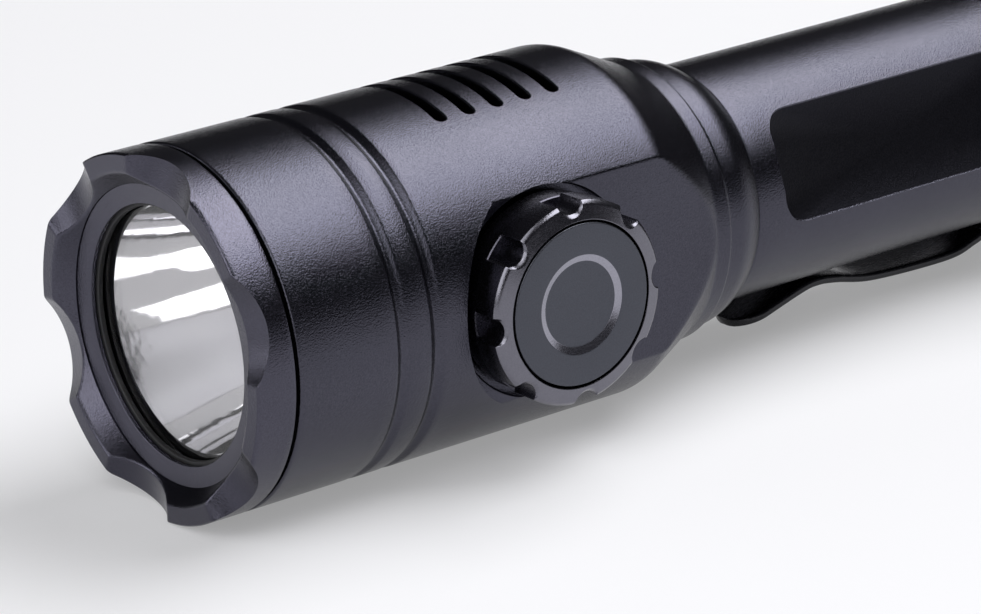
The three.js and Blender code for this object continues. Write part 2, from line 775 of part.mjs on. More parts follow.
function tactSwitch() {
  const size = [TACT_THICKNESS, TACT_SIDE, TACT_SIDE];
  const body = block(size, [tactBottom + TACT_THICKNESS / 2, knobStation, 0]);
  return body.add(knobAxisCutter(TACT_STEM_RADIUS, tactBottom, tactStemTop, COARSE));
}

function hallSensor(side) {
  const { x, y, z, insetY, insetZ } = SENSOR;
  const height = controlBoardFace + SEAT + x / 2;
  const alongBoard = CONTROL_BOARD_LENGTH / 2 - insetY;
  const acrossBoard = controlBoardWidth / 2 - insetZ;
  return block([x, y, z], [height, knobStation + side * alongBoard, side * acrossBoard]);
}

function driverBoard() {
  const profile = [
    [0, driverFront],
    [driverRadius, driverFront],
    [driverRadius, driverRear],
    [0, driverRear],
  ];
  return lathe(profile);
}

function driverInductor() {
  const [x, z] = INDUCTOR_PLACE;
  const rear = driverFront - SEAT;
  return bar(INDUCTOR_RADIUS, [x, rear - INDUCTOR_HEIGHT, z], [x, rear, z]);
}

function driverChip() {
  const [x, z] = CHIP_PLACE;
  const middle = driverFront - SEAT - CHIP_HEIGHT / 2;
  return block([CHIP_SIDE, CHIP_HEIGHT, CHIP_SIDE], [x, middle, z]);
}

function driverRing() {
  const inner = driverRadius - DRIVER_RING_WALL;
  return ring(inner, driverRadius, contactFront, contactFront + DRIVER_RING_THICKNESS);
}

function frontContact() {
  return bar(CONTACT_RADIUS, [0, contactFront, 0], [0, contactEnd, 0]);
}

function contactInsulator() {
  const inner = CONTACT_RADIUS + RUN;
  const outer = driverRadius - DRIVER_RING_WALL - RUN;
  return ring(inner, outer, contactFront, contactFront + INSULATOR_HEIGHT, COARSE);
}

piece("led_wire_positive", wire(1), redSleeve);
piece("led_wire_negative", wire(-1), blackPlastic);
piece("control_board", controlBoard(), circuitBoard);
piece("tact_switch", tactSwitch(), blackPlastic);
piece("hall_sensor_front", hallSensor(-1), blackPlastic);
piece("hall_sensor_rear", hallSensor(1), blackPlastic);
piece("driver_board", driverBoard(), circuitBoard);
piece("driver_inductor", driverInductor(), ferrite);
piece("driver_chip", driverChip(), blackPlastic);
piece("driver_ring", driverRing(), brass);
piece("front_contact", frontContact(), brass);
piece("contact_insulator", contactInsulator(), whitePlastic);

// ---------------------------------------------------------------- selector knob and side button
// These are turned about the knob's own axis, which the knob group lays along +X.

function knobHub() {
  const profile = [
    [plungerBore, hubStemEnd],
    [hubStemRadius, hubStemEnd],
    [hubStemRadius, hubSeat],
    [hubRadius, hubSeat],
    [hubRadius, hubTop],
    [plungerBore, hubTop],
  ];
  return lathe(profile);
}

function knobWasher() {
  return ring(hubBore, washerRadius, hubSeat, washerTop);
}

function knobCirclip() {
  return ring(circlipBore, circlipRadius, circlipBottom, circlipTop);
}

function knobNotchCutter() {
  const height = knobFace + OVERCUT - knobShoulder;
  const centre = knobRadius - NOTCH_DEPTH + NOTCH_RADIUS;
  const geometry = new THREE.CylinderGeometry(NOTCH_RADIUS, NOTCH_RADIUS, height, 20);
  return geometry.translate(centre, knobShoulder + height / 2, 0);
}

function magnetPlace(side) {
  const angle = radians(180 / NOTCH_COUNT + NOTCH_PHASE);
  return [side * magnetOrbit * Math.cos(angle), side * magnetOrbit * Math.sin(angle)];
}

function magnet(side) {
  const [x, z] = magnetPlace(side);
  const bottom = knobBottom + SEAT;
  return bar(MAGNET_RADIUS, [x, bottom, z], [x, bottom + MAGNET_THICKNESS, z]);
}

function knobRing() {
  const profile = [
    [hubBore, knobBottom],
    [knobBaseRadius, knobBottom],
    [knobBaseRadius, knobShoulder],
    [knobRadius, knobShoulder],
    [knobRadius, knobEdge - KNOB_CHAMFER],
    [knobRadius - KNOB_CHAMFER, knobEdge],
    [buttonBore, knobFace],
    [buttonBore, webTop],
    [hubBore, webTop],
  ];
  let knob = lathe(profile, FINE);
  knob = knob.subtract(roundPattern(knobNotchCutter, NOTCH_COUNT, NOTCH_PHASE));
  for (const side of [-1, 1]) {
    const [x, z] = magnetPlace(side);
    const top = knobBottom + MAGNET_THICKNESS + 2 * SEAT;
    knob = knob.subtract(bar(MAGNET_RADIUS + SEAT, [x, knobBottom - OVERCUT, z], [x, top, z]));
  }
  return knob;
}

function buttonCap() {
  const edge = 0.25;
  const dishFloor = knobFace - BUTTON_DISH_DEPTH;
  const grooveFloor = PLUNGER_RADIUS - PLUNGER_GROOVE_DEPTH;
  const grooveBottom = plungerRingHeight - PLUNGER_GROOVE_WIDTH / 2;
  const grooveTop = plungerRingHeight + PLUNGER_GROOVE_WIDTH / 2;
  const profile = [
    [0, plungerTip],
    [PLUNGER_RADIUS, plungerTip],
    [PLUNGER_RADIUS, grooveBottom],
    [grooveFloor, grooveBottom],
    [grooveFloor, grooveTop],
    [PLUNGER_RADIUS, grooveTop],
    [PLUNGER_RADIUS, buttonBottom],
    [PLUNGER_RADIUS + SEAT, buttonPocketTop],
    [buttonPocket, buttonPocketTop],
    [buttonPocket, buttonBottom],
    [buttonRadius, buttonBottom],
    [buttonRadius, knobFace - edge],
    [buttonRadius - edge, knobFace],
    [BUTTON_DISH_RADIUS, knobFace],
    [BUTTON_DISH_RADIUS - BUTTON_DISH_SLOPE, dishFloor],
    [0, dishFloor],
  ];
  return lathe(profile, MEDIUM);
}

function plungerRing() {
  const section = 0.4;
  const mean = PLUNGER_RADIUS - PLUNGER_GROOVE_DEPTH + section + SEAT / 2;
  return oRing(mean, plungerRingHeight, section, MEDIUM);
}

function buttonSpring() {
  const radius = (circlipBore + circlipRadius) / 2;
  const bottom = circlipTop + SEAT;
  const top = buttonPocketTop - SEAT;
  return coil(radius, radius, bottom, top, 2, BUTTON_SPRING_WIRE);
}

piece("knob_hub", knobHub(), steel, knobGroup);
piece("knob_washer", knobWasher(), whitePlastic, knobGroup);
piece("knob_ring", knobRing(), anodised, knobGroup);
piece("knob_circlip", knobCirclip(), steel, knobGroup);
piece("selector_magnet_front", magnet(1), steel, knobGroup);
piece("selector_magnet_rear", magnet(-1), steel, knobGroup);
piece("button_cap", buttonCap(), anodised, knobGroup);
piece("button_oring", plungerRing(), rubber, knobGroup);
piece("button_spring", buttonSpring(), steel, knobGroup);

knobGroup.rotation.z = -Math.PI / 2;
knobGroup.position.y = knobStation;
flashlight.add(knobGroup);

// ---------------------------------------------------------------- battery tube and cell

function spigotGroove(station) {
  const half = SPIGOT_GROOVE_WIDTH / 2;
  const floor = spigotRadius - SPIGOT_GROOVE_DEPTH;
  return [
    [spigotRadius, station - half],
    [floor, station - half],
    [floor, station + half],
    [spigotRadius, station + half],
  ];
}

function tubeBody() {
  const edge = 0.3;
  const profile = [
    [cellBore, spigotFront],
    [spigotRadius, spigotFront],
    ...spigotGroove(neckRingStation),
    [spigotRadius, tubeFront],
    [tubeRadius - edge, tubeFront],
    [tubeRadius, tubeFront + edge],
    [tubeRadius, tubeCollarStart - TUBE_COLLAR_SLOPE],
    [tubeCollarRadius, tubeCollarStart],
    [tubeCollarRadius, tubeRear - edge],
    [tubeCollarRadius - edge, tubeRear],
    [spigotRadius, tubeRear],
    ...spigotGroove(tailRingStation),
    [spigotRadius, spigotRear],
    [cellBore, spigotRear],
  ];
  return lathe(profile, FINE);
}

// A milled panel: a rounded rectangle cut down to a plane beside the cell.
function panelCutter(angle) {
  const w = PANEL_HALF_WIDTH;
  const h = (panelRear - panelFront) / 2;
  const c = PANEL_CORNER;
  const outline = new THREE.Shape();
  outline.moveTo(-w + c, -h);
  outline.lineTo(w - c, -h);
  outline.absarc(w - c, -h + c, c, -Math.PI / 2, 0, false);
  outline.absarc(w - c, h - c, c, 0, Math.PI / 2, false);
  outline.absarc(-w + c, h - c, c, Math.PI / 2, Math.PI, false);
  outline.absarc(-w + c, -h + c, c, Math.PI, 1.5 * Math.PI, false);
  const options = { depth: tubeRadius, bevelEnabled: false, curveSegments: 6 };
  const geometry = new THREE.ExtrudeGeometry(outline, options);
  geometry.translate(0, (panelFront + panelRear) / 2, panelPlane);
  return solidOf(geometry.rotateY(radians(90 - angle)));
}

function clipScrewStation(side) {
  return (clipRoot + clipBend + side * CLIP_SCREW_PITCH) / 2;
}

// A bar through the clip's root, straight up from one depth below the axis to another.
function clipBar(side, radius, lower, upper, segments) {
  const station = clipScrewStation(side);
  return bar(radius, [0, station, -lower], [0, station, -upper], segments);
}

function clipPadCutter() {
  const reach = 2 * tubeCollarRadius;
  const front = tubeCollarStart - CLIP_PAD_LEAD;
  const middle = [0, (front + tubeRear) / 2, -clipPadPlane - reach / 2];
  return block([reach, tubeRear - front, reach], middle);
}

function batteryTube() {
  let tube = tubeBody().subtract(clipPadCutter());
  for (const angle of [PANEL_ANGLE, PANEL_ANGLE + 180]) {
    tube = tube.subtract(panelCutter(angle));
  }
  const holeEnd = clipPadPlane + CLIP_THICKNESS - SEAT - SCREW_SHANK_LENGTH;
  for (const side of [-1, 1]) {
    const radius = SCREW_SHANK_RADIUS + SEAT;
    tube = tube.subtract(clipBar(side, radius, tubeCollarRadius + OVERCUT, holeEnd, SMALL));
  }
  return tube;
}

function cell() {
  const edge = 0.6;
  const shoulder = cellFront + CELL_NUB_HEIGHT;
  const profile = [
    [0, cellFront],
    [CELL_NUB_RADIUS, cellFront],
    [CELL_NUB_RADIUS, shoulder],
    [CELL_RADIUS - edge, shoulder],
    [CELL_RADIUS, shoulder + edge],
    [CELL_RADIUS, cellRear - edge],
    [CELL_RADIUS - edge, cellRear],
    [0, cellRear],
  ];
  return lathe(profile);
}

function spigotORing(station) {
  const floor = spigotRadius - SPIGOT_GROOVE_DEPTH;
  return oRing(floor + SPIGOT_RING_SECTION + SEAT / 2, station, SPIGOT_RING_SECTION, FINE);
}

piece("battery_tube", batteryTube(), anodised);
piece("cell", cell(), cellSleeve);
piece("neck_oring", spigotORing(neckRingStation), rubber);
piece("tail_oring", spigotORing(tailRingStation), rubber);

// ---------------------------------------------------------------- pocket clip

// The blade's middle line, from the root plate to the flared tip, as [station, distance below].
function clipLine() {
  const flat = clipPadPlane + SEAT + CLIP_THICKNESS / 2;
  const touch = tubeRadius + RUN + CLIP_THICKNESS / 2;
  const knots = [
    [clipBend, flat],
    [clipBend - 3.5, flat + 1],
    [clipBend - 8, flat + CLIP_ARCH],
    [clipContact + 9, flat + CLIP_ARCH - 0.4],
    [clipContact + 3, touch + 0.35],
    [clipContact, touch],
    [clipContact - 3, touch + 0.45],
    [clipTip, touch + CLIP_TIP_LIFT],
  ];
  const curve = new THREE.SplineCurve(knots.map(([y, z]) => new THREE.Vector2(y, z)));
  const bent = curve.getPoints(28).map(({ x, y }) => [x, y]);
  return [[clipRoot, flat], ...bent];
}

function clipStrip() {
  const line = clipLine();
  const side = (direction) =>
    line.map(([y, z], i) => {
      const [y0, z0] = line[Math.max(i - 1, 0)];
      const [y1, z1] = line[Math.min(i + 1, line.length - 1)];
      const length = Math.hypot(y1 - y0, z1 - z0);
      const offset = (direction * CLIP_THICKNESS) / 2 / length;
      return new THREE.Vector2(y - (z1 - z0) * offset, z + (y1 - y0) * offset);
    });
  const shape = new THREE.Shape([...side(1), ...side(-1).reverse()]);
  const strip = new THREE.ExtrudeGeometry(shape, { depth: CLIP_WIDTH, bevelEnabled: false });
  // Shape x runs along the light and shape y away from it, downwards.
  const place = new THREE.Matrix4().set(
    0, 0, -1, CLIP_WIDTH / 2,
    1, 0, 0, 0,
    0, -1, 0, 0,
    0, 0, 0, 1,
  );
  return solidOf(strip.applyMatrix4(place));
}

// The strip's outline seen from above: straight sides and a half-round tip.
function clipPlan() {
  const r = CLIP_WIDTH / 2;
  const plan = new THREE.Shape();
  plan.moveTo(-r, -tubeRear);
  plan.lineTo(r, -tubeRear);
  plan.lineTo(r, -clipTip - r);
  plan.absarc(0, -clipTip - r, r, 0, Math.PI, false);
  const options = { depth: 2 * tubeCollarRadius, bevelEnabled: false, curveSegments: 10 };
  return solidOf(new THREE.ExtrudeGeometry(plan, options).rotateX(Math.PI));
}

function pocketClip() {
  let clip = clipStrip().intersect(clipPlan());
  const radius = SCREW_SHANK_RADIUS + SEAT;
  for (const side of [-1, 1]) {
    clip = clip.subtract(clipBar(side, radius, 2 * tubeCollarRadius, 0, SMALL));
  }
  return clip;
}

function clipScrew(side) {
  const seat = clipPadPlane + 2 * SEAT + CLIP_THICKNESS;
  const bottom = seat + SCREW_HEAD_HEIGHT;
  const shankStart = seat + SCREW_HEAD_HEIGHT / 2;
  const head = clipBar(side, SCREW_HEAD_RADIUS, bottom, seat, COARSE);
  const shank = clipBar(side, SCREW_SHANK_RADIUS, shankStart, seat - SCREW_SHANK_LENGTH, SMALL);
  const socketFloor = bottom - SCREW_SOCKET_DEPTH;
  const socket = clipBar(side, SCREW_SOCKET_RADIUS, bottom + OVERCUT, socketFloor, HEXAGON);
  return head.add(shank).subtract(socket);
}

piece("pocket_clip", pocketClip(), blackSteel);
piece("clip_screw_front", clipScrew(-1), blackSteel);
piece("clip_screw_rear", clipScrew(1), blackSteel);

// ---------------------------------------------------------------- tail cap

function capFluteCutter() {
  const centre = capRadius - FLUTE_DEPTH + FLUTE_RADIUS;
  const geometry = new THREE.CylinderGeometry(FLUTE_RADIUS, FLUTE_RADIUS, FLUTE_LENGTH, COARSE);
  return geometry.translate(centre, capFront + FLUTE_START + FLUTE_LENGTH / 2, 0);
}

function thumbGapCutter() {
  const length = RIM_DEPTH + OVERCUT;
  return block([WING_GAP, length, 3 * capRadius], [0, rimFloor + length / 2, 0]);
}

function tailCap() {
  const edge = 0.6;
  const boardSeat = tailBoardRear + SEAT;
  const spigotRoom = spigotRear + RUN;
  const buttonHole = TAIL_BUTTON_RADIUS + RUN;
  const profile = [
    [spigotBore, capFront],
    [capRadius - CAP_LIP, capFront],
    [capRadius, capFront + CAP_LIP_LENGTH],
    [capRadius, capRear - edge],
    [capRadius - edge, capRear],
    [rimBore, capRear],
    [rimBore, rimFloor],
    [buttonHole, rimFloor],
    [buttonHole, endWallFace],
    [switchBore, endWallFace],
    [switchBore, boardSeat],
    [tailBoardBore, boardSeat],
    [tailBoardBore, spigotRoom],
    [spigotBore, spigotRoom],
  ];
  const flutes = roundPattern(capFluteCutter, FLUTE_COUNT, 180 / FLUTE_COUNT);
  let cap = lathe(profile, FINE).subtract(flutes).subtract(thumbGapCutter());
  const station = rimFloor + RIM_DEPTH / 2;
  for (const x of [-lanyardOrbit, lanyardOrbit]) {
    cap = cap.subtract(bar(LANYARD_HOLE, [x, station, -capRadius], [x, station, capRadius]));
  }
  return cap;
}

function tailSpring() {
  const front = cellRear + RUN;
  const rear = tailBoardFace - SEAT;
  return coil(TAIL_SPRING_TIP, TAIL_SPRING_BASE, front, rear, 4, TAIL_SPRING_WIRE);
}

function tailBoard() {
  const profile = [
    [0, tailBoardFace],
    [tailBoardRadius, tailBoardFace],
    [tailBoardRadius, tailBoardRear],
    [0, tailBoardRear],
  ];
  return lathe(profile);
}

function tailRetainingRing() {
  const inner = tailBoardRadius - TAIL_RING_WALL;
  return ring(inner, tailBoardRadius, tailRingFace, tailRingFace + TAIL_RING_THICKNESS);
}

function tailSwitch() {
  const middle = (tailSwitchFront + tailSwitchRear) / 2;
  const body = block([TAIL_SWITCH_SIDE, TAIL_SWITCH_HEIGHT, TAIL_SWITCH_SIDE], [0, middle, 0]);
  return body.add(bar(TAIL_POST_RADIUS, [0, tailSwitchFront, 0], [0, tailStemRear, 0]));
}

function tailButton() {
  const edge = 0.8;
  const dish = 0.5;
  const top = rimFloor + TAIL_BUTTON_PROUD;
  const profile = [
    [0, tailPostEnd],
    [TAIL_POST_RADIUS, tailPostEnd],
    [TAIL_POST_RADIUS, tailFlangeFront],
    [tailFlangeRadius, tailFlangeFront],
    [tailFlangeRadius, tailFlangeRear],
    [TAIL_BUTTON_RADIUS, tailFlangeRear],
    [TAIL_BUTTON_RADIUS, top - edge],
    [TAIL_BUTTON_RADIUS - edge, top],
    [TAIL_BUTTON_RADIUS / 2, top - dish / 2],
    [0, top - dish],
  ];
  return lathe(profile);
}

function tailButtonSpring() {
  const radius = (TAIL_SWITCH_SIDE / 2) * Math.SQRT2 + 2 * TAIL_BUTTON_WIRE + RUN;
  const front = tailBoardRear + RUN;
  const rear = tailFlangeFront - RUN;
  return coil(radius, radius, front, rear, 3, TAIL_BUTTON_WIRE);
}

piece("tail_cap", tailCap(), anodised);
piece("tail_spring", tailSpring(), brass);
piece("tail_board", tailBoard(), circuitBoard);
piece("tail_retaining_ring", tailRetainingRing(), brass);
piece("tail_switch", tailSwitch(), blackPlastic);
piece("tail_button", tailButton(), rubber);
piece("tail_button_spring", tailButtonSpring(), steel);

// ---------------------------------------------------------------- the part's own frame

// The origin lies under the middle of the light's box, on the surface that the head rests on.
const part = new THREE.Group();
const sideReach = Math.max(knobFace, HEAD_RADIUS);
flashlight.position.set((HEAD_RADIUS - sideReach) / 2, -capRear / 2, HEAD_RADIUS);
part.add(flashlight);

export default part;
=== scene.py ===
# %% [markdown]
# # A tactical flashlight, lying on a pale table
#
# The light is a set of turned and milled aluminium parts: a scalloped bezel, a head with cooling
# slots, a turning selector on its side, a battery tube, a clip and a tail cap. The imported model
# gives every part's place. This lesson makes the fine surfaces: each one is a formula on a grid,
# so edges are truly rounded and a highlight runs along them as on the real metal.

# %% Load the frame
import json
import math

import bpy
import numpy as np
from mathutils import Matrix, Vector

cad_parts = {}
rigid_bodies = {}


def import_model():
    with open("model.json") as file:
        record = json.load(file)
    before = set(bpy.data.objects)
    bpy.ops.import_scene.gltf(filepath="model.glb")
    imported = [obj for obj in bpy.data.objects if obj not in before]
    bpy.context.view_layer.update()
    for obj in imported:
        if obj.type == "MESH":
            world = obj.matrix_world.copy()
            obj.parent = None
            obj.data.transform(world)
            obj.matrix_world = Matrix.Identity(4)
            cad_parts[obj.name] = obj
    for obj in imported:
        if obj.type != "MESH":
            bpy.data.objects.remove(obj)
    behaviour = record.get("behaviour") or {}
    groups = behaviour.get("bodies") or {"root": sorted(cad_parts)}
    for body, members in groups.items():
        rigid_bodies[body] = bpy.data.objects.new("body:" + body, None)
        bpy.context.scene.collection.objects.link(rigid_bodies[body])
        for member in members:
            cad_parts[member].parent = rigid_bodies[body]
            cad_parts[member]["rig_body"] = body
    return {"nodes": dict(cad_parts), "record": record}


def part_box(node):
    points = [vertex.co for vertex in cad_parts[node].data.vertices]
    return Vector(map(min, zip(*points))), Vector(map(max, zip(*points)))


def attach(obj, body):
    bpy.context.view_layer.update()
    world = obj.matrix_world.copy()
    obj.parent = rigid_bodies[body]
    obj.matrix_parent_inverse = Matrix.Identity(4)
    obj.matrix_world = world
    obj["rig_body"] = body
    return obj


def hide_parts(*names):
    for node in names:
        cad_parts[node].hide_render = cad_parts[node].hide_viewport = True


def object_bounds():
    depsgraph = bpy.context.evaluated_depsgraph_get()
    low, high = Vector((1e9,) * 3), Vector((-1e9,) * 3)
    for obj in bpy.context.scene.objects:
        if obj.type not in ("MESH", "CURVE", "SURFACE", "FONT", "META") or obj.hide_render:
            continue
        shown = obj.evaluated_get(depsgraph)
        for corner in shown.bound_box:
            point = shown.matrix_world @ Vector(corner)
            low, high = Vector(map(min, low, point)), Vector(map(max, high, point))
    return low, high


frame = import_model()
cad_box = [list(corner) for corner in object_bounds()]

# %% [markdown]
# All shapes are written in millimetres along the beam axis: station 0 is the plane of the bezel's
# crests and stations grow towards the tail. The frame says where that axis lies, so one shift
# and one scale put every shape in its place.

# %% Read the axis and the stations from the frame
MM = 0.001


def corners(node):
    """The lowest and highest corners of a node, in metres."""
    low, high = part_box(node)
    return np.array(low), np.array(high)


bezel_low, bezel_high = corners("strike_bezel")
head_radius = (bezel_high[0] - bezel_low[0]) / 2 / MM
AXIS = np.array([(bezel_low[0] + bezel_high[0]) / 2, bezel_low[1], (bezel_low[2] + bezel_high[2]) / 2])


def stations(node):
    """Where a node starts and ends along the beam axis, in millimetres from the crests."""
    low, high = corners(node)
    return (low[1] - AXIS[1]) / MM, (high[1] - AXIS[1]) / MM


def heights(node):
    """How far out of the beam axis a node starts and ends along +X, in millimetres."""
    low, high = corners(node)
    return (low[0] - AXIS[0]) / MM, (high[0] - AXIS[0]) / MM


head_front, head_rear = stations("head_shell")
tube_front, tube_rear = stations("battery_tube")
cap_front, cap_rear = stations("tail_cap")
knob_bottom, knob_face = heights("knob_ring")
knob_low, knob_high = stations("knob_ring")
knob_station = (knob_low + knob_high) / 2
print("head radius", round(head_radius, 2), "mm, length", round(cap_rear, 1), "mm")

# %% [markdown]
# ## Tools for surfaces
#
# A turned part is a profile carried round an axis. Real turned parts have no knife edges, so the
# profile's corners are replaced by small arcs before it is turned. A grid of points becomes a
# mesh in one step, closed on itself in both directions.


# %% Profiles and grids
def rounded(points, steps=5):
    """A profile with its corners rounded.

    Each point is (radius, station) or (radius, station, fillet). A fillet replaces the corner by
    an arc that leaves each side at the same distance from the corner.
    """
    points = [(*p, 0.0) if len(p) == 2 else p for p in points]
    out = []
    for i, (r, y, fillet) in enumerate(points):
        here = np.array([r, y])
        if not fillet:
            out.append(here)
            continue
        before = np.array(points[i - 1][:2]) - here
        after = np.array(points[(i + 1) % len(points)][:2]) - here
        start = here + before / np.linalg.norm(before) * fillet
        end = here + after / np.linalg.norm(after) * fillet
        t = np.linspace(0, 1, steps + 1)[:, None]
        out.extend((1 - t) ** 2 * start + 2 * t * (1 - t) * here + t**2 * end)
    return np.array(out)


def spread(profile, spacing):
    """The same profile with points added, so that no step is longer than the spacing."""
    out = [profile[0]]
    for start, end in zip(profile[:-1], profile[1:]):
        count = max(1, int(np.ceil(np.linalg.norm(end - start) / spacing)))
        out.extend(start + (end - start) * k / count for k in range(1, count + 1))
    return np.array(out)


def turned(radius, station, angle):
    """Points on a circle round the beam axis: the angle runs from +X towards +Z."""
    radius, station, angle = np.broadcast_arrays(radius, station, angle)
    return np.stack([radius * np.cos(angle), station, radius * np.sin(angle)], -1)


def turned_x(radius, height, angle):
    """Points on a circle round the selector's axis: the angle runs from the bezel towards +Z."""
    radius, height, angle = np.broadcast_arrays(radius, height, angle)
    return np.stack([height, knob_station - radius * np.cos(angle), radius * np.sin(angle)], -1)


def full_turn(count):
    """Angles of a full turn, without the last one, which is the first again."""
    return np.arange(count) * (2 * math.pi / count)


def smooth_max(a, b, width):
    """The larger of two values, with the crossing rounded over the given width."""
    h = np.clip(0.5 + 0.5 * (a - b) / width, 0, 1)
    return b + (a - b) * h + width * h * (1 - h)


def smooth_min(a, b, width):
    """The smaller of two values, with the crossing rounded over the given width."""
    return -smooth_max(-a, -b, width)


EDGE_WIDTH = 0.12
FAR = 1e3


def near_side(angle, count, phase, centre, reach_squared):
    """The near side of round cutters spaced evenly about an axis, as a radius over the angle.

    A ray at an angle meets a cutter's circle where the distance across it is within its reach.
    """
    pitch = 2 * math.pi / count
    offset = (angle - phase + pitch / 2) % pitch - pitch / 2
    inside = reach_squared - (centre * np.sin(offset)) ** 2
    near = centre * np.cos(offset) - np.sqrt(np.maximum(inside, 0))
    return np.where(inside > 0, near, FAR)


def mesh_piece(name, points, faces):
    """A mesh object from points in millimetres on the beam axis, and its faces."""
    mesh = bpy.data.meshes.new(name)
    mesh.from_pydata((points * MM + AXIS).tolist(), [], faces)
    mesh.validate()
    piece = bpy.data.objects.new(name, mesh)
    bpy.context.scene.collection.objects.link(piece)
    return piece


def outward(piece):
    """Turn the faces outwards: the volume under a closed mesh is positive when they are."""
    mesh = piece.data
    mesh.calc_loop_triangles()
    points = np.empty(len(mesh.vertices) * 3)
    mesh.vertices.foreach_get("co", points)
    corners_of = np.empty(len(mesh.loop_triangles) * 3, int)
    mesh.loop_triangles.foreach_get("vertices", corners_of)
    a, b, c = (points.reshape(-1, 3)[corners_of.reshape(-1, 3)[:, k]] for k in range(3))
    if np.einsum("ij,ij->i", a, np.cross(b, c)).sum() < 0:
        mesh.flip_normals()
    return piece


def smooth(piece, sharp_angle=32):
    """Smooth shading, broken only at edges sharper than the angle, in degrees."""
    mesh = piece.data
    mesh.polygons.foreach_set("use_smooth", np.ones(len(mesh.polygons), bool))
    mesh.set_sharp_from_angle(angle=math.radians(sharp_angle))
    return piece


def ring_piece(name, grid):
    """A closed surface from a grid of points whose rows and columns both close on themselves."""
    rows, columns = grid.shape[:2]
    index = np.arange(rows * columns).reshape(rows, columns)
    down = np.roll(index, -1, 0)
    right = np.roll(index, -1, 1)
    across = np.roll(down, -1, 1)
    faces = np.stack([index, right, across, down], -1).reshape(-1, 4)
    return smooth(outward(mesh_piece(name, grid.reshape(-1, 3), faces.tolist())))


def solid_piece(name, grid):
    """A closed surface from a grid whose first and last rows each shrink to one point."""
    rows, columns = grid.shape[:2]
    inner = grid[1:-1].reshape(-1, 3)
    index = np.arange((rows - 2) * columns).reshape(rows - 2, columns)
    right = np.roll(index, -1, 1)
    quads = np.stack([index[:-1], right[:-1], right[1:], index[1:]], -1).reshape(-1, 4)
    first, last = len(inner), len(inner) + 1
    caps = [(first, b, a) for a, b in zip(index[0], right[0])]
    caps += [(last, a, b) for a, b in zip(index[-1], right[-1])]
    points = np.vstack([inner, grid[0, :1], grid[-1, :1]])
    faces = quads.tolist() + [tuple(int(i) for i in cap) for cap in caps]
    return smooth(outward(mesh_piece(name, points, faces)))


def sweep(name, profile, count, turn=turned):
    """A profile carried round: a closed ring, or a solid if it starts and ends on the axis."""
    grid = turn(profile[:, :1], profile[:, 1:], full_turn(count)[None, :])
    on_axis = profile[0, 0] == 0 and profile[-1, 0] == 0
    return solid_piece(name, grid) if on_axis else ring_piece(name, grid)


def lathe(name, points, count=256, turn=turned, steps=5):
    """A turned piece from a profile's corners and their fillets."""
    return sweep(name, rounded(points, steps), count, turn)


# %% [markdown]
# Slots, recesses and panels are milled out of a turned part, so they are cut here as a mill cuts
# them: a cutter's shape is subtracted. The cutters flare where they meet the surface, which
# leaves the small chamfer that catches the light.


# %% Cutting
def box_piece(name, low, high):
    """A plain block between two corners, used only as a cutter."""
    grid = np.array([[x, y, z] for x in (0, 1) for y in (0, 1) for z in (0, 1)])
    points = np.array(low) + grid * (np.array(high) - np.array(low))
    faces = [(0, 1, 3, 2), (4, 6, 7, 5), (0, 4, 5, 1), (2, 3, 7, 6), (0, 2, 6, 4), (1, 5, 7, 3)]
    return outward(mesh_piece(name, points, faces))


def cut(piece, cutters):
    """Subtract the cutters from a piece, apply the cut and remove the cutters."""
    for cutter in cutters:
        modifier = piece.modifiers.new("cut", "BOOLEAN")
        modifier.operation = "DIFFERENCE"
        modifier.solver = "EXACT"
        modifier.object = cutter
    bpy.context.view_layer.update()
    graph = bpy.context.evaluated_depsgraph_get()
    mesh = bpy.data.meshes.new_from_object(piece.evaluated_get(graph))
    piece.modifiers.clear()
    piece.data = mesh
    for cutter in cutters:
        bpy.data.objects.remove(cutter)
    return smooth(piece)


# %% [markdown]
# ## Strike bezel
#
# Six scallops are milled into the front of a ring. Seen along the ring, each scallop is a piece
# of a cylinder that lies radially and leans a little. The front surface is then a height over
# radius and angle: the larger of the plain ring's height and the cylinders' height, with the
# crossing rounded as tumbling rounds it.

# %% Bezel
BEZEL_LENGTH = 4.65
BEZEL_BORE = 16.35
LIP_RADIUS = 17.9
LIP_DEPTH = 1.9
CREST_COUNT = 6
CREST_ANGLE = math.radians(47.3)
SCALLOP_RADIUS = 9.05
SCALLOP_DEPTH = 1.8
SCALLOP_LEAN = math.radians(10)
EDGE = 0.22


def scallop_height(radius, angle):
    """How far back the scallops reach: the height of a leaning cylinder over the ring."""
    pitch = 2 * math.pi / CREST_COUNT
    offset = (angle - CREST_ANGLE + math.pi) % pitch - pitch / 2
    along = radius * np.cos(offset)
    across = radius * np.sin(offset)
    middle = (head_radius + BEZEL_BORE) / 2
    axis = SCALLOP_DEPTH - SCALLOP_RADIUS + (along - middle) * math.tan(SCALLOP_LEAN)
    return axis + np.sqrt(np.maximum(SCALLOP_RADIUS**2 - across**2, 0)) / math.cos(SCALLOP_LEAN)


def bezel_front(radius, angle):
    """The front surface: an inner cone and a narrow land, cut by the scallops."""
    cone = (LIP_RADIUS - radius) / (LIP_RADIUS - BEZEL_BORE) * LIP_DEPTH
    plain = smooth_max(cone, 0 * radius, 0.35)
    outer_edge = (radius - (head_radius - EDGE)) / EDGE
    plain = plain + EDGE * np.clip(outer_edge, 0, 1) ** 2
    return smooth_max(plain, scallop_height(radius, angle), 0.28)


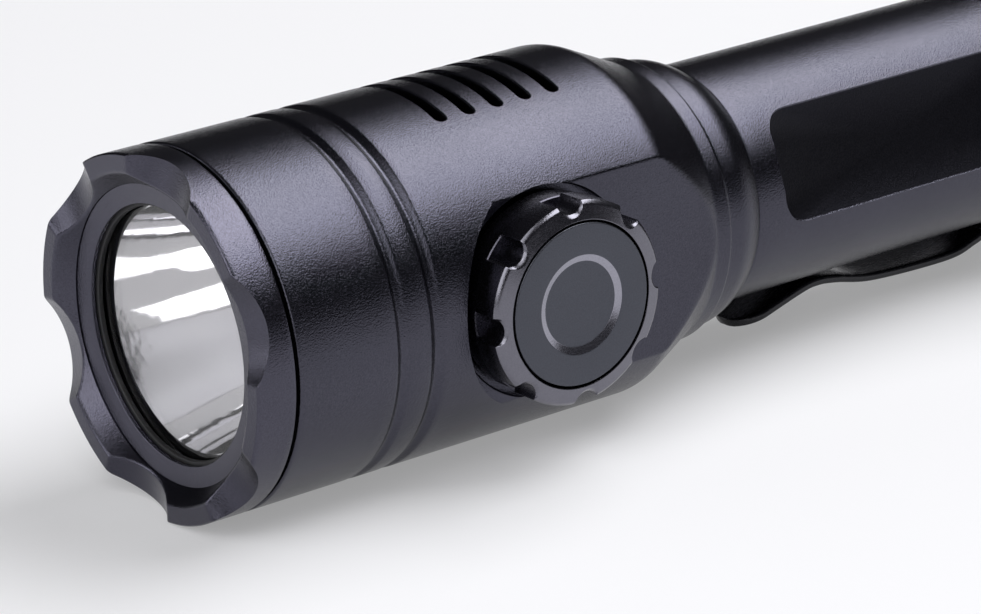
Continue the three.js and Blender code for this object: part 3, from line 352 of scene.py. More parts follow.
def strike_bezel():
    """The front surface, then down the outside, round the skirt and up the bore."""
    angle = full_turn(960)[None, :]
    skirt = stations("strike_bezel")[1]
    skirt_radius = 17.4
    inner, outer = BEZEL_BORE, head_radius
    across = np.concatenate([np.linspace(inner, outer - EDGE, 34), np.linspace(outer - EDGE, outer, 7)[1:]])
    front = bezel_front(across[:, None], angle)
    rows = [turned(across[:, None], front, angle)]
    for share in np.linspace(0, 1, 9)[1:]:
        station = front[-1] + share * (BEZEL_LENGTH - EDGE - front[-1])
        rows.append(turned(outer, station, angle))
    back = rounded(
        [
            (outer, BEZEL_LENGTH, EDGE),
            (skirt_radius, BEZEL_LENGTH),
            (skirt_radius, skirt, EDGE),
            (inner, skirt, EDGE),
        ]
    )
    rows.append(turned(back[1:, :1], back[1:, 1:], angle))
    for share in np.linspace(1, 0, 8)[1:-1]:
        station = front[0] + share * (skirt - 0.5 - front[0])
        rows.append(turned(inner, station, angle))
    grid = np.vstack([row.reshape(-1, angle.size, 3) for row in rows])
    return ring_piece("bezel_fine", grid)


bezel = strike_bezel()
print("bezel faces:", len(bezel.data.polygons))

# %% [markdown]
# Behind the bezel come the ring that holds the window, the window's seal, and the gasket in the
# narrow gap that reads as a black line round the head.


# %% Window ring, seal, window and gasket
def band(name, inner, outer, node, fillet, slope=0.0, count=256):
    """A turned ring between two radii that fills a node's length, with a sloped front face."""
    front, rear = stations(node)
    points = [
        (inner, front + slope, fillet),
        (outer, front, fillet / 4),
        (outer, rear, fillet),
        (inner, rear, fillet),
    ]
    return lathe(name, points, count)


window_ring = band("window_ring_fine", 14.1, BEZEL_BORE - 0.02, "window_ring", 0.12, slope=0.35)
window_seal = band("window_seal_fine", 13.72, 15.5, "window_seal", 0.2)
bezel_gasket = band("bezel_gasket_fine", 17.6, head_radius - 0.75, "bezel_gasket", 0.15)


def window_glass():
    """A flat disc with a small ground edge."""
    front, rear = stations("window")
    radius = corners("window")[1][0] - corners("window")[0][0]
    radius = radius / 2 / MM
    return lathe("window_fine", [(0, front), (radius, front, 0.2), (radius, rear, 0.2), (0, rear)])


window = window_glass()

# %% [markdown]
# ## Reflector
#
# The mirror is a paraboloid: the square of its radius falls evenly with depth, from the mouth to
# the hole round the emitter. Its outside follows the same curve one wall further out.


# %% Reflector
def parabola(mouth, hole, front, rear, count, offset=0.0):
    """Points of a paraboloid from mouth to hole: radius squared is linear in the station."""
    radius = np.linspace(mouth, hole, count)
    fallen = (mouth**2 - radius**2) / (mouth**2 - hole**2)
    return np.stack([radius + offset, front + (rear - front) * fallen], -1)


def reflector_piece():
    """The mirror's inside, its front rim and flange, and the wall behind."""
    front, rear = stations("reflector")
    mouth, hole, wall, flange = 13.35, 3.6, 1.1, 15.1
    inside = parabola(mouth, hole, front, rear, 72)[::-1]
    outside = parabola(mouth, hole, front, rear, 24, wall)
    outside = outside[outside[:, 1] > front + 1.6]
    rim = rounded([(mouth + 0.05, front), (flange, front, 0.15), (flange, front + 1.5, 0.15)], 4)
    profile = np.vstack([inside, rim, outside])
    return sweep("reflector_fine", profile, 288)


reflector = reflector_piece()


def emitter_piece():
    """The phosphor die under its dome: a dome whose edge becomes a rounded square."""
    front, rear = stations("led_emitter")
    side, dome = 2.5, 1.9
    angle = full_turn(96)[None, :]
    lift = np.linspace(0, math.pi / 2, 14)[1:, None]
    dome_grid = turned(dome * np.sin(lift), front + dome * (1 - np.cos(lift)) * 0.8, angle)
    square = side / np.maximum(np.abs(np.cos(angle)), np.abs(np.sin(angle)))
    square = np.minimum(square, side * 1.3)
    plate = rear - 0.65
    rows = [
        turned(0 * angle, front, angle),
        dome_grid,
        turned(dome + 0.15, plate, angle),
        turned(square - 0.08, plate, angle),
        turned(square, plate + 0.08, angle),
        turned(square, rear, angle),
        turned(0 * angle, rear, angle),
    ]
    return solid_piece("led_emitter_fine", np.vstack(rows))


emitter = emitter_piece()
centring_ring = band("led_centring_ring_fine", 3.85, 6.4, "led_centring_ring", 0.1, count=128)

# %% [markdown]
# ## Head shell
#
# The head is a turned tube with two shallow grooves, a rear cone, a collar and a bead. A mill has
# then planed a flat on its side. On a grid of angle and station, the flat is the smaller of two
# radii: that of the turned part and that of the plane. Its front wall is part of a circle round
# the selector's axis, so the grid's rows are bent to run exactly along that wall.

# %% Head
GROOVES = [(18.45, 1.9, 0.42), (22.9, 2.05, 0.47)]
HEAD_END = 56.15
COLLAR = (64.0, 66.05, 16.4)
BEAD = (68.3, 15.6, 14.0)
FLAT = 16.6
FLAT_WALL_RADIUS = 12.8
GROOVES_END = 24.6
SHOULDER = 1.0
GASKET_BORE = 17.7
GASKET_END = 11.4
FRONT_BORE = 15.4
SHELF_FRONT, SHELF_REAR = 27.8, 31.8
WIRE_HOLE = 1.2
ELECTRONICS_BORE = 12.6
NECK_BORE = 13.2
NECK_START = 57.6


def groove_points(centre, width, depth, count=16):
    """A shallow groove: a cosine dip, so that it runs smoothly into the cylinder."""
    t = np.linspace(-1, 1, count)
    radius = head_radius - depth * (0.5 + 0.5 * np.cos(math.pi * t)) ** 0.8
    return np.stack([radius, centre + t * width / 2], -1)


def flat_cut(points_radius, angle):
    """The turned radius limited by the flat: a plane's radius grows as 1 / cos(angle)."""
    cosine = np.cos(angle)
    plane = np.where(cosine > 0.3, FLAT / np.maximum(cosine, 0.3), FAR)
    return smooth_min(points_radius, plane, EDGE_WIDTH)


def wall_station(radius, angle):
    """Where the flat's front wall lies: on a circle round the selector's axis."""
    reach = head_radius * math.sin(math.acos(FLAT / head_radius))
    across = np.minimum(np.abs(radius * np.sin(angle)), reach)
    across = np.where(np.cos(angle) > 0, across, reach)
    return knob_station - np.sqrt(FLAT_WALL_RADIUS**2 - across**2)


def head_front_rows(angle):
    """From the front bore over the chamfer and the grooves."""
    edge = 0.35
    mouth = [(GASKET_BORE, head_front), (head_radius, head_front, edge), (head_radius, head_front + 2)]
    grooves = [groove_points(*groove) for groove in GROOVES]
    profile = np.vstack([rounded(mouth), *grooves, [[head_radius, GROOVES_END]]])
    profile = spread(profile, 1.5)
    return turned(profile[:, :1], profile[:, 1:], angle)


def head_flat_rows(angle):
    """Along the cylinder to the wall, down the wall, and along the flat to the cone."""
    top = head_radius + 0 * angle
    floor = flat_cut(top, angle)
    share = np.linspace(0, 1, 10)[1:, None]
    before = turned(top, GROOVES_END + share * (wall_station(top, angle) - GROOVES_END), angle)
    drop = np.linspace(0, 1, 7)[1:, None]
    radius = top + drop * (floor - top)
    wall = turned(radius, wall_station(radius, angle), angle)
    start = wall_station(floor, angle)
    along = np.linspace(0, 1, 26)[1:, None]
    after = turned(floor, start + along * (HEAD_END - SHOULDER - start), angle)
    return np.vstack([before, wall, after])


def head_rear_rows(angle):
    """The shoulder, cone, collar, step and bead, and the seam at the neck."""
    bead_t = np.linspace(0, 1, 16)
    bead_r = BEAD[1] + (BEAD[2] - BEAD[1]) * bead_t**1.9
    bead_y = BEAD[0] + (head_rear - 0.1 - BEAD[0]) * bead_t
    shoulder = rounded(
        [
            (head_radius, HEAD_END - SHOULDER),
            (head_radius, HEAD_END, 0.9),
            (COLLAR[2], COLLAR[0], 0.35),
            (COLLAR[2], COLLAR[1], 0.25),
            (BEAD[1], COLLAR[1] + 0.5, 0.3),
            (BEAD[1], BEAD[0]),
        ],
        7,
    )
    bead = np.stack([bead_r, bead_y], -1)
    profile = np.vstack([spread(shoulder[1:], 0.7), bead[1:], [[NECK_BORE + 0.1, head_rear]]])
    return turned(flat_cut(profile[:, :1], angle), profile[:, 1:], angle)


def head_bore_rows(angle):
    """The inside: neck bore, electronics bore, the shelf and the two front bores."""
    profile = np.array(
        [
            (NECK_BORE, head_rear - 0.2),
            (NECK_BORE, NECK_START),
            (ELECTRONICS_BORE, NECK_START),
            (ELECTRONICS_BORE, SHELF_REAR),
            (WIRE_HOLE, SHELF_REAR),
            (WIRE_HOLE, SHELF_FRONT),
            (FRONT_BORE, SHELF_FRONT),
            (FRONT_BORE, GASKET_END),
            (GASKET_BORE, GASKET_END),
        ]
    )
    profile = spread(profile, 5.0)
    return turned(profile[:, :1], profile[:, 1:], angle)


def head_body():
    """All rows of the head in one grid, closed in both directions."""
    angle = full_turn(720)[None, :]
    sections = [head_front_rows, head_flat_rows, head_rear_rows, head_bore_rows]
    rows = [section(angle).reshape(-1, angle.size, 3) for section in sections]
    return ring_piece("head_fine", np.vstack(rows))


head = head_body()
print("head faces:", len(head.data.polygons))

# %% [markdown]
# The five cooling slots are cut with a round cutter that follows the head's curve. In section
# each is a slot with a flared mouth; along the head's circumference it ends in a half circle.

# %% Slots and the selector's recess
SLOT_COUNT = 5
SLOT_FIRST = 33.6
SLOT_PITCH = 3.77
SLOT_WIDTH = 1.4
SLOT_SPAN = math.radians(48)
SLOT_FLOOR = 16.2
FLARE = 0.16


def stadium(half_length, half_width, count):
    """The outline of a slot: two straight sides and two half circles."""
    turn = np.linspace(-math.pi / 2, math.pi / 2, count)
    right = np.stack([half_length - half_width + half_width * np.cos(turn), half_width * np.sin(turn)], -1)
    straight = np.linspace(1, -1, 14)[1:-1] * (half_length - half_width)
    top = np.stack([straight, np.full(12, half_width)], -1)
    return np.vstack([right, top, -right, -top])


def slot_cutter(station):
    """A slot's outline carried inwards along the radius, flared at the surface."""
    half_length = SLOT_SPAN / 2 * head_radius
    layers = []
    for radius, grow in [
        (SLOT_FLOOR, -0.15),
        (SLOT_FLOOR + 0.15, 0.0),
        (head_radius - FLARE, 0.0),
        (head_radius + 0.05, FLARE + 0.05),
        (head_radius + 1.0, FLARE + 0.05),
    ]:
        outline = stadium(half_length + grow, SLOT_WIDTH / 2 + grow, 10)
        angle = math.pi / 2 - outline[:, 0] / head_radius
        layers.append(turned(radius, station + outline[:, 1], angle))
    grid = np.stack(layers)
    low = turned(SLOT_FLOOR, station, math.pi / 2)
    high = turned(head_radius + 1.0, station, math.pi / 2)
    count = grid.shape[1]
    grid = np.concatenate([np.tile(low, (1, count, 1)), grid, np.tile(high, (1, count, 1))])
    return solid_piece("slot_cutter", grid)


def recess_cutter():
    """The round recess that the selector sits in, flared at the flat."""
    radius, depth = 11.6, 1.2
    points = [
        (0, FLAT - depth),
        (radius, FLAT - depth),
        (radius, FLAT - 0.2),
        (radius + 0.35, FLAT + 0.15),
        (radius + 0.35, FLAT + 0.5),
        (0, FLAT + 0.5),
    ]
    return lathe("recess_cutter", points, 256, turned_x)


cutters = [slot_cutter(SLOT_FIRST + SLOT_PITCH * k) for k in range(SLOT_COUNT)]
cut(head, [*cutters, recess_cutter()])
print("head faces after milling:", len(head.data.polygons))

# %% [markdown]
# ## Selector knob and side button
#
# The knob's outline is a circle with eight round notches: at each angle it is the smaller of the
# circle's radius and the near side of the notch's circle. The notches stop at a plain base. The
# face is a shallow cone that falls outward, and a narrow chamfer follows the whole outline.

# %% Knob
NOTCH_COUNT = 8
NOTCH_RADIUS = 1.67
NOTCH_DEPTH = 1.2
NOTCH_PHASE = math.radians(-3)
KNOB_RADIUS = 11.2
KNOB_BASE_RADIUS = 10.9
KNOB_BASE_HEIGHT = 2.7
KNOB_BORE = 9.15
KNOB_FACE_DROP = 0.5
KNOB_CHAMFER = 0.35
KNOB_WEB = 2.1
HUB_BORE = 5.3
BUTTON_RADIUS = 8.9
BUTTON_THICKNESS = 2.7
PLUNGER_RADIUS = 2.6
DISH_RADIUS = 5.5
DISH_SLOPE = 0.85
DISH_DEPTH = 0.35


def knob_outline(angle):
    """The notched outline as a radius over the angle."""
    centre = KNOB_RADIUS - NOTCH_DEPTH + NOTCH_RADIUS
    notch = near_side(angle, NOTCH_COUNT, NOTCH_PHASE, centre, NOTCH_RADIUS**2)
    return smooth_min(np.minimum(notch, KNOB_RADIUS + 1), KNOB_RADIUS + 0 * angle, EDGE_WIDTH)


def knob_piece():
    """Up the bore, over the face and its chamfer, down the notched side and the base."""
    angle = full_turn(1152)[None, :]
    outline = knob_outline(angle)
    shoulder = knob_bottom + KNOB_BASE_HEIGHT
    web = knob_bottom + KNOB_WEB
    face = knob_face
    edge = outline - KNOB_CHAMFER

    def cone(radius):
        """The face's height, which falls in a straight line from the bore to the chamfer."""
        share = (radius - KNOB_BORE) / (KNOB_RADIUS - KNOB_CHAMFER - KNOB_BORE)
        return face - KNOB_FACE_DROP * share

    rows = [
        (KNOB_BORE, web),
        (KNOB_BORE, face - 0.2),
        (KNOB_BORE + 0.03, face - 0.07),
        (KNOB_BORE + 0.1, face - 0.03),
        (edge - 0.25, cone(edge - 0.25)),
        (edge - 0.06, cone(edge - 0.06)),
        (edge + 0.03, cone(edge) - 0.05),
        (outline - 0.05, cone(edge) - KNOB_CHAMFER + 0.03),
        (outline - 0.01, cone(edge) - KNOB_CHAMFER - 0.04),
        (outline, cone(edge) - KNOB_CHAMFER - 0.15),
        (outline, face - 2.2),
        (outline, shoulder + 0.2),
        (outline - 0.03, shoulder + 0.03),
        (KNOB_BASE_RADIUS - 0.1, shoulder),
        (KNOB_BASE_RADIUS, shoulder - 0.12),
        (KNOB_BASE_RADIUS, knob_bottom + 0.2),
        (KNOB_BASE_RADIUS - 0.2, knob_bottom),
        (HUB_BORE, knob_bottom),
        (HUB_BORE, web),
    ]
    grid = [turned_x(radius + 0 * angle, height, angle) for radius, height in rows]
    return ring_piece("knob_fine", np.vstack(grid))


knob = knob_piece()


def button_piece():
    """A disc with a sunken middle: the narrow slope round it catches the light as a ring, and a painted
    highlight, a brighter finish on the slope, makes the ring stronger.
    """
    low, high = heights("button_cap")
    points = [
        (0, low),
        (PLUNGER_RADIUS, low, 0.2),
        (PLUNGER_RADIUS, high - BUTTON_THICKNESS),
        (BUTTON_RADIUS, high - BUTTON_THICKNESS, 0.2),
        (BUTTON_RADIUS, high, 0.18),
        (DISH_RADIUS, high, 0.1),
        (DISH_RADIUS - DISH_SLOPE, high - DISH_DEPTH, 0.12),
        (0, high - DISH_DEPTH),
    ]
    return lathe("button_fine", points, 384, turned_x, 6)


button = button_piece()

# %% [markdown]
# ## Battery tube
#
# A plain tube with a milled panel on each side and a collar at the rear that carries the clip.
# The panel is cut by a flat-bottomed cutter with round corners.

# %% Tube
TUBE_RADIUS = 13.85
COLLAR_RADIUS = 15.0
PANEL_ANGLE = math.radians(18.2)
PANEL_PLANE = 12.1
PANEL_HALF_WIDTH = 6.6
PANEL_START = 76.3
PANEL_LENGTH = 37.5
PANEL_CORNER = 3.4
PAD_PLANE = 14.0
TUBE_BORE = 11.05
SPIGOT_RADIUS = 12.9
COLLAR_LENGTH = 11.4
PAD_LENGTH = 13.4
HEAD_GAP = 0.08
CAP_GAP = 0.4
body_front = head_rear + HEAD_GAP
body_rear = cap_front - CAP_GAP


def tube_piece():
    """Outside from spigot to spigot, then back through the bore."""
    collar = body_rear - COLLAR_LENGTH
    points = [
        (TUBE_BORE, tube_front, 0.2),
        (SPIGOT_RADIUS, tube_front, 0.2),
        (SPIGOT_RADIUS, body_front),
        (TUBE_RADIUS, body_front, 0.25),
        (TUBE_RADIUS, collar - 1.0, 0.3),
        (COLLAR_RADIUS, collar, 0.3),
        (COLLAR_RADIUS, body_rear, 0.3),
        (SPIGOT_RADIUS, body_rear),
        (SPIGOT_RADIUS, tube_rear, 0.2),
        (TUBE_BORE, tube_rear, 0.2),
    ]
    return sweep("tube_fine", spread(rounded(points), 3.0), 360)


def panel_outline(grow, count=10):
    """A rounded rectangle in the panel's plane, as (across, station)."""
    corner = PANEL_CORNER + grow
    turn = np.linspace(0, math.pi / 2, count)
    arc = corner * np.stack([np.cos(turn), np.sin(turn)], -1)
    half = np.array([PANEL_HALF_WIDTH - PANEL_CORNER, PANEL_LENGTH / 2 - PANEL_CORNER])
    quarter = [
        arc + half,
        (arc * [-1, 1] + half * [-1, 1])[::-1],
        -arc - half,
        (arc * [1, -1] + half * [1, -1])[::-1],
    ]
    return np.vstack(quarter) + [0, PANEL_START + PANEL_LENGTH / 2]


def panel_cutter(angle):
    """The outline carried out of the panel's plane, flared at the tube's surface."""
    rows = []
    for height, grow in [(0, -0.25), (0.08, -0.08), (0.3, 0.0), (1.5, 0.0), (1.85, 0.3), (4.0, 0.3)]:
        outline = panel_outline(grow)
        out = PANEL_PLANE + height
        rows.append(np.stack([np.full(len(outline), out), outline[:, 1], outline[:, 0]], -1))
    first, last = rows[0].mean(0), rows[-1].mean(0)
    count = len(rows[0])
    grid = np.stack([np.tile(first, (count, 1)), *rows, np.tile(last, (count, 1))])
    cosine, sine = math.cos(angle), math.sin(angle)
    x, y, z = grid[..., 0], grid[..., 1], grid[..., 2]
    return solid_piece("panel_cutter", np.stack([x * cosine - z * sine, y, x * sine + z * cosine], -1))


def pad_cutter():
    """The flat under the collar that the clip's root is screwed to."""
    low = (-16, body_rear - PAD_LENGTH, -31)
    high = (16, body_rear + 0.001, -PAD_PLANE)
    return box_piece("pad_cutter", low, high)


tube = tube_piece()
cut(tube, [panel_cutter(PANEL_ANGLE), panel_cutter(PANEL_ANGLE + math.pi), pad_cutter()])
print("tube faces:", len(tube.data.polygons))

# %% [markdown]
# ## Pocket clip
#
# A strip of spring steel: a rounded rectangle carried along a bent line. Towards the tip its
# width follows a circle, which rounds the end.

# %% Clip
CLIP_WIDTH = 7.5
CLIP_THICKNESS = 1.1
SCREW_HEAD = 1.9
SCREW_HEAD_HEIGHT = 1.2
SCREW_SHANK = 0.9
SOCKET_RADIUS = 0.82


def clip_line():
    """The strip's middle line as (station, depth below the axis), from the root to the tip."""
    flat = PAD_PLANE + 0.15 + CLIP_THICKNESS / 2
    touch = TUBE_RADIUS + 0.3 + CLIP_THICKNESS / 2
    root = body_rear - 1
    bend = root - 9.4
    contact = root - 38
    knots = np.array(
        [
            (root, flat),
            (bend, flat),
            (bend - 3.5, flat + 1),
            (bend - 8, flat + 1.9),
            (contact + 9, flat + 1.5),
            (contact + 3, touch + 0.35),
            (contact, touch),
            (contact - 3, touch + 0.45),
            (root - 49.5, touch + 2.9),
        ]
    )
    return smooth_line(knots, 14)


def smooth_line(knots, steps):
    """A Catmull-Rom line through the knots: each piece is a cubic that leaves its knots smoothly."""
    ends = np.vstack([2 * knots[0] - knots[1], knots, 2 * knots[-1] - knots[-2]])
    t = np.arange(steps)[:, None] / steps
    out = []
    for a, b, c, d in zip(ends[:-3], ends[1:-2], ends[2:-1], ends[3:]):
        square = 2 * a - 5 * b + 4 * c - d
        cube = 3 * b - a - 3 * c + d
        out.append(0.5 * (2 * b + (c - a) * t + square * t**2 + cube * t**3))
    return np.vstack([*out, knots[-1:]])


def clip_piece():
    """The rounded section carried along the line; the width shrinks on a circle at each end."""
    line = clip_line()
    tangent = np.gradient(line, axis=0)
    tangent /= np.linalg.norm(tangent, axis=1, keepdims=True)
    normal = np.stack([-tangent[:, 1], tangent[:, 0]], -1)
    run = np.concatenate([[0], np.cumsum(np.linalg.norm(np.diff(line, axis=0), axis=1))])
    extra = np.array([0.02, 0.12, 0.35, 0.7, 1.1])
    keep = np.sort(np.concatenate([run, extra, run[-1] - extra, run[-1] - np.array([1.6, 2.2, 3.0])]))
    line = np.stack([np.interp(keep, run, line[:, k]) for k in range(2)], -1)
    normal = np.stack([np.interp(keep, run, normal[:, k]) for k in range(2)], -1)
    half = CLIP_WIDTH / 2
    tip = np.clip((keep[-1] - keep) / half, 0, 1)
    root = np.clip(keep / 0.8, 0, 1)
    width = half * np.sqrt(1 - (1 - tip) ** 2) - 0.8 * (1 - np.sqrt(1 - (1 - root) ** 2))
    width = np.maximum(width, 0.02)
    turn = full_turn(40)
    power = 0.35
    across = np.sign(np.cos(turn)) * np.abs(np.cos(turn)) ** power
    up = np.sign(np.sin(turn)) * np.abs(np.sin(turn)) ** power
    shrink = np.minimum(1, width / 1.2)[:, None]
    x = (width[:, None] - 0.5 * shrink) * across + 0.5 * shrink * np.sign(across) * np.abs(across)
    offset = CLIP_THICKNESS / 2 * up * (0.35 + 0.65 * shrink)
    grid = np.stack([x, line[:, :1] + normal[:, :1] * offset, -(line[:, 1:] + normal[:, 1:] * offset)], -1)
    first = grid[:1].mean(1, keepdims=True) + 0 * grid[:1]
    last = grid[-1:].mean(1, keepdims=True) + 0 * grid[-1:]
    return solid_piece("clip_fine", np.concatenate([first, grid, last]))


clip = clip_piece()


def screw_piece(name, node):
    """A button-head screw: a low dome with a hexagon socket, turned about a vertical axis."""
    low, high = corners(node)
    centre = ((low + high) / 2 - AXIS) / MM
    bottom = (low[2] - AXIS[2]) / MM
    top = (high[2] - AXIS[2]) / MM
    angle = full_turn(96)[None, :]
    hexagon = SOCKET_RADIUS / np.cos((angle + math.pi / 6) % (math.pi / 3) - math.pi / 6)
    dome = np.linspace(0, 1, 9)[:, None]
    rows = [
        (0 * angle, bottom + 0.75),
        (hexagon, bottom + 0.7),
        (hexagon, bottom + 0.08),
        (hexagon + 0.1, bottom),
    ]
    for share in dome[1:, 0]:
        radius = 1.05 + (SCREW_HEAD - 1.05) * share
        rows.append((radius + 0 * angle, bottom + 0.9 * share**2.6))
    rows += [
        (SCREW_HEAD + 0 * angle, bottom + SCREW_HEAD_HEIGHT),
        (SCREW_SHANK + 0 * angle, bottom + SCREW_HEAD_HEIGHT),
        (SCREW_SHANK + 0 * angle, top),
        (0 * angle, top),
    ]
    grid = [
        np.stack([centre[0] + r * np.cos(angle), centre[1] + r * np.sin(angle), z + 0 * angle], -1)
        for r, z in rows
    ]
    return solid_piece(name, np.vstack(grid))


screw_front = screw_piece("clip_screw_front_fine", "clip_screw_front")
screw_rear = screw_piece("clip_screw_rear_fine", "clip_screw_rear")

# %% [markdown]
# ## Tail cap and tail button
#
# The grip flutes are cut by a ball-ended cutter: at each angle and station the cap's radius is
# the smaller of the turned radius and the near side of that cutter. The thumb gap and the
# lanyard holes are then milled and drilled.

# %% Tail cap
CAP_RADIUS = 15.6
FLUTE_COUNT = 12
FLUTE_RADIUS = 2.4
FLUTE_DEPTH = 0.7
FLUTE_START = 3.4
FLUTE_LENGTH = 14.0
RIM_DEPTH = 5.0
RIM_BORE = 10.5
LANYARD_RADIUS = 1.5
LANYARD_ORBIT = 13.0
BUTTON_HOLE = 7.7
SWITCH_BORE = 9.9
BOARD_BORE = 11.85
CAP_BORE = 13.2
TAIL_BUTTON_RADIUS = 7.4


def fluted(radius, station, angle):
    """The turned radius limited by the flutes: the near side of a ball-ended cutter."""
    centre = CAP_RADIUS - FLUTE_DEPTH + FLUTE_RADIUS
    start = cap_front + FLUTE_START + FLUTE_RADIUS
    end = start + FLUTE_LENGTH - 2 * FLUTE_RADIUS
    beyond = np.maximum(0, np.maximum(start - station, station - end))
    phase = math.pi / FLUTE_COUNT
    near = near_side(angle, FLUTE_COUNT, phase, centre, FLUTE_RADIUS**2 - beyond**2)
    return smooth_min(np.minimum(near, radius + 1), radius, 0.1)


def cap_piece():
    """The fluted outside, the rim, the button's hole and the bore."""
    floor = cap_rear - RIM_DEPTH
    points = [
        (CAP_BORE, cap_front, 0.2),
        (14.8, cap_front, 0.2),
        (CAP_RADIUS, cap_front + 1.2, 0.3),
        (CAP_RADIUS, cap_rear, 0.7),
        (RIM_BORE, cap_rear, 0.3),
        (RIM_BORE, floor, 0.3),
        (BUTTON_HOLE, floor, 0.3),
        (BUTTON_HOLE, floor - 3.0),
        (SWITCH_BORE, floor - 3.0),
        (SWITCH_BORE, floor - 11.4),
        (BOARD_BORE, floor - 11.4),
        (BOARD_BORE, floor - 15.3),
        (CAP_BORE, floor - 15.3),
    ]
    profile = spread(rounded(points), 0.45)
    angle = full_turn(480)[None, :]
    radius, station = profile[:, :1], profile[:, 1:]
    outside = radius > 13.5
    radius = np.where(outside, fluted(radius, station, angle), radius + 0 * angle)
    return ring_piece("tail_cap_fine", turned(radius, station, angle))


def lanyard_drill(side):
    """A round drill that crosses one wing of the cap from side to side."""
    profile = np.array([(0, -20), (LANYARD_RADIUS, -20), (LANYARD_RADIUS, 20), (0, 20)])
    angle = full_turn(48)[None, :]
    r, z = profile[:, :1], profile[:, 1:]
    x = side * LANYARD_ORBIT + r * np.cos(angle)
    y = cap_rear - RIM_DEPTH / 2 + r * np.sin(angle)
    return solid_piece("lanyard_drill", np.stack([x, y, z + 0 * angle], -1))


cap = cap_piece()
thumb_gap = box_piece("thumb_gap", (-8, cap_rear - RIM_DEPTH, -20), (8, cap_rear + 2, 20))
cut(cap, [thumb_gap, lanyard_drill(-1), lanyard_drill(1)])
print("cap faces:", len(cap.data.polygons))


def tail_button_piece():
    """A rubber button with a dished, ringed face."""
    front, rear = stations("tail_button")
    flange = cap_rear - RIM_DEPTH - 3.3
    ripple_r = np.linspace(5.6, 0.4, 60)
    ripple_y = rear - 0.1 - 0.45 * (1 - (ripple_r / 5.6) ** 2) + 0.1 * np.cos(ripple_r * 2 * math.pi / 1.2)
    body = rounded(
        [
            (2.0, front, 0.1),
            (2.0, flange - 1.4),
            (9.5, flange - 1.4, 0.2),
            (9.5, flange, 0.2),
            (TAIL_BUTTON_RADIUS, flange),
            (TAIL_BUTTON_RADIUS, rear, 0.9),
        ]
    )
    profile = np.vstack([[[0, front]], body, np.stack([ripple_r, ripple_y], -1), [[0, rear - 0.5]]])
    return sweep("tail_button_fine", profile, 192)


tail_button = tail_button_piece()

# %% [markdown]
# ## Finishes
#
# Shader arithmetic is written as ordinary expressions. A value that changes over a surface is
# wrapped in a small class whose operators add the Math nodes.


# %% Shader arithmetic
class Value:
    """One output in a node tree. Arithmetic on it adds Math nodes."""

    def __init__(self, finish, socket):
        self.finish = finish
        self.socket = socket

    def __add__(self, other):
        return self.finish.math("ADD", self, other)

    def __sub__(self, other):
        return self.finish.math("SUBTRACT", self, other)

    def __rsub__(self, other):
        return self.finish.math("SUBTRACT", other, self)

    def __mul__(self, other):
        return self.finish.math("MULTIPLY", self, other)

    __radd__ = __add__
    __rmul__ = __mul__


class Finish:
    """A material under construction: a Principled shader, and methods that add nodes to it."""

    def __init__(self, name, **constants):
        self.material = bpy.data.materials.new(name)
        self.material.use_nodes = True
        self.tree = self.material.node_tree
        self.shader = self.tree.nodes["Principled BSDF"]
        for socket, value in constants.items():
            self.shader.inputs[socket.replace("_", " ")].default_value = value

    def node(self, kind, settings=None, inputs=None, output=0):
        """Add a node: its settings first, then the values or links of its sockets."""
        made = self.tree.nodes.new(kind)
        for name, value in (settings or {}).items():
            setattr(made, name, value)
        for name, value in (inputs or {}).items():
            self.connect(value, made.inputs[name])
        return Value(self, made.outputs[output])

    def connect(self, value, socket):
        if isinstance(value, Value):
            self.tree.links.new(value.socket, socket)
        else:
            socket.default_value = value

    def math(self, operation, a, b):
        return self.node("ShaderNodeMath", {"operation": operation}, {0: a, 1: b})

    def place(self):
        """The point's place on the object, in metres."""
        return self.node("ShaderNodeTexCoord", output=3)

    def noise(self, scale, detail=2.0, roughness=0.5, vector=None):
        """Soft noise from 0 to 1, with features of about 1 / scale metres."""
        inputs = {"Vector": vector or self.place(), "Scale": scale}
        inputs.update(Detail=detail, Roughness=roughness)
        return self.node("ShaderNodeTexNoise", inputs=inputs)

    def stretch(self, scale):
        """The place, scaled differently along each axis."""
        inputs = {"Vector": self.place(), "Scale": scale}
        return self.node("ShaderNodeMapping", {"vector_type": "POINT"}, inputs)

    def blend(self, factor, a, b):
        """A colour between a and b."""
        inputs = {0: factor, 6: (*a, 1), 7: (*b, 1)}
        return self.node("ShaderNodeMix", {"data_type": "RGBA"}, inputs, output=2)

    def range(self, value, low, high, to_low, to_high):
        """Map a range to another one, and keep to its ends."""
        inputs = {0: value, 1: low, 2: high, 3: to_low, 4: to_high}
        return self.node("ShaderNodeMapRange", {"clamp": True}, inputs)

    def bump(self, height, distance, strength=1.0):
        """Tilt the surface by a height from 0 to 1 over a distance in metres."""
        inputs = {"Strength": strength, "Distance": distance, "Height": height}
        normal = self.node("ShaderNodeBump", inputs=inputs)
        self.connect(normal, self.shader.inputs["Normal"])

    def set(self, name, value):
        self.connect(value, self.shader.inputs[name])


# %% [markdown]
# Hard-anodised aluminium is blasted with fine beads before it is dyed. Up close it has a grain
# of about a tenth of a millimetre that breaks up every reflection; further away the dye layer
# varies a little. Both are noise on the object's own coordinates, so they stay with the metal.


# %% Metals
def anodised(name, dark, light, roughness, grain):
    """Blasted and dyed aluminium: grain in height, roughness and tone."""
    made = Finish(name, Metallic=1.0)
    fine = made.noise(5200, 2.0, 0.6)
    cloud = made.noise(90, 3.0)
    tone = made.range(fine, 0.3, 0.7, 0.0, 1.0) * 0.6 + cloud * 0.4
    made.set("Base Color", made.blend(tone, dark, light))
    made.set("Roughness", made.range(fine, 0.3, 0.7, roughness - 0.04, roughness + 0.05))
    made.bump(fine, 0.00006, grain)
    return made.material


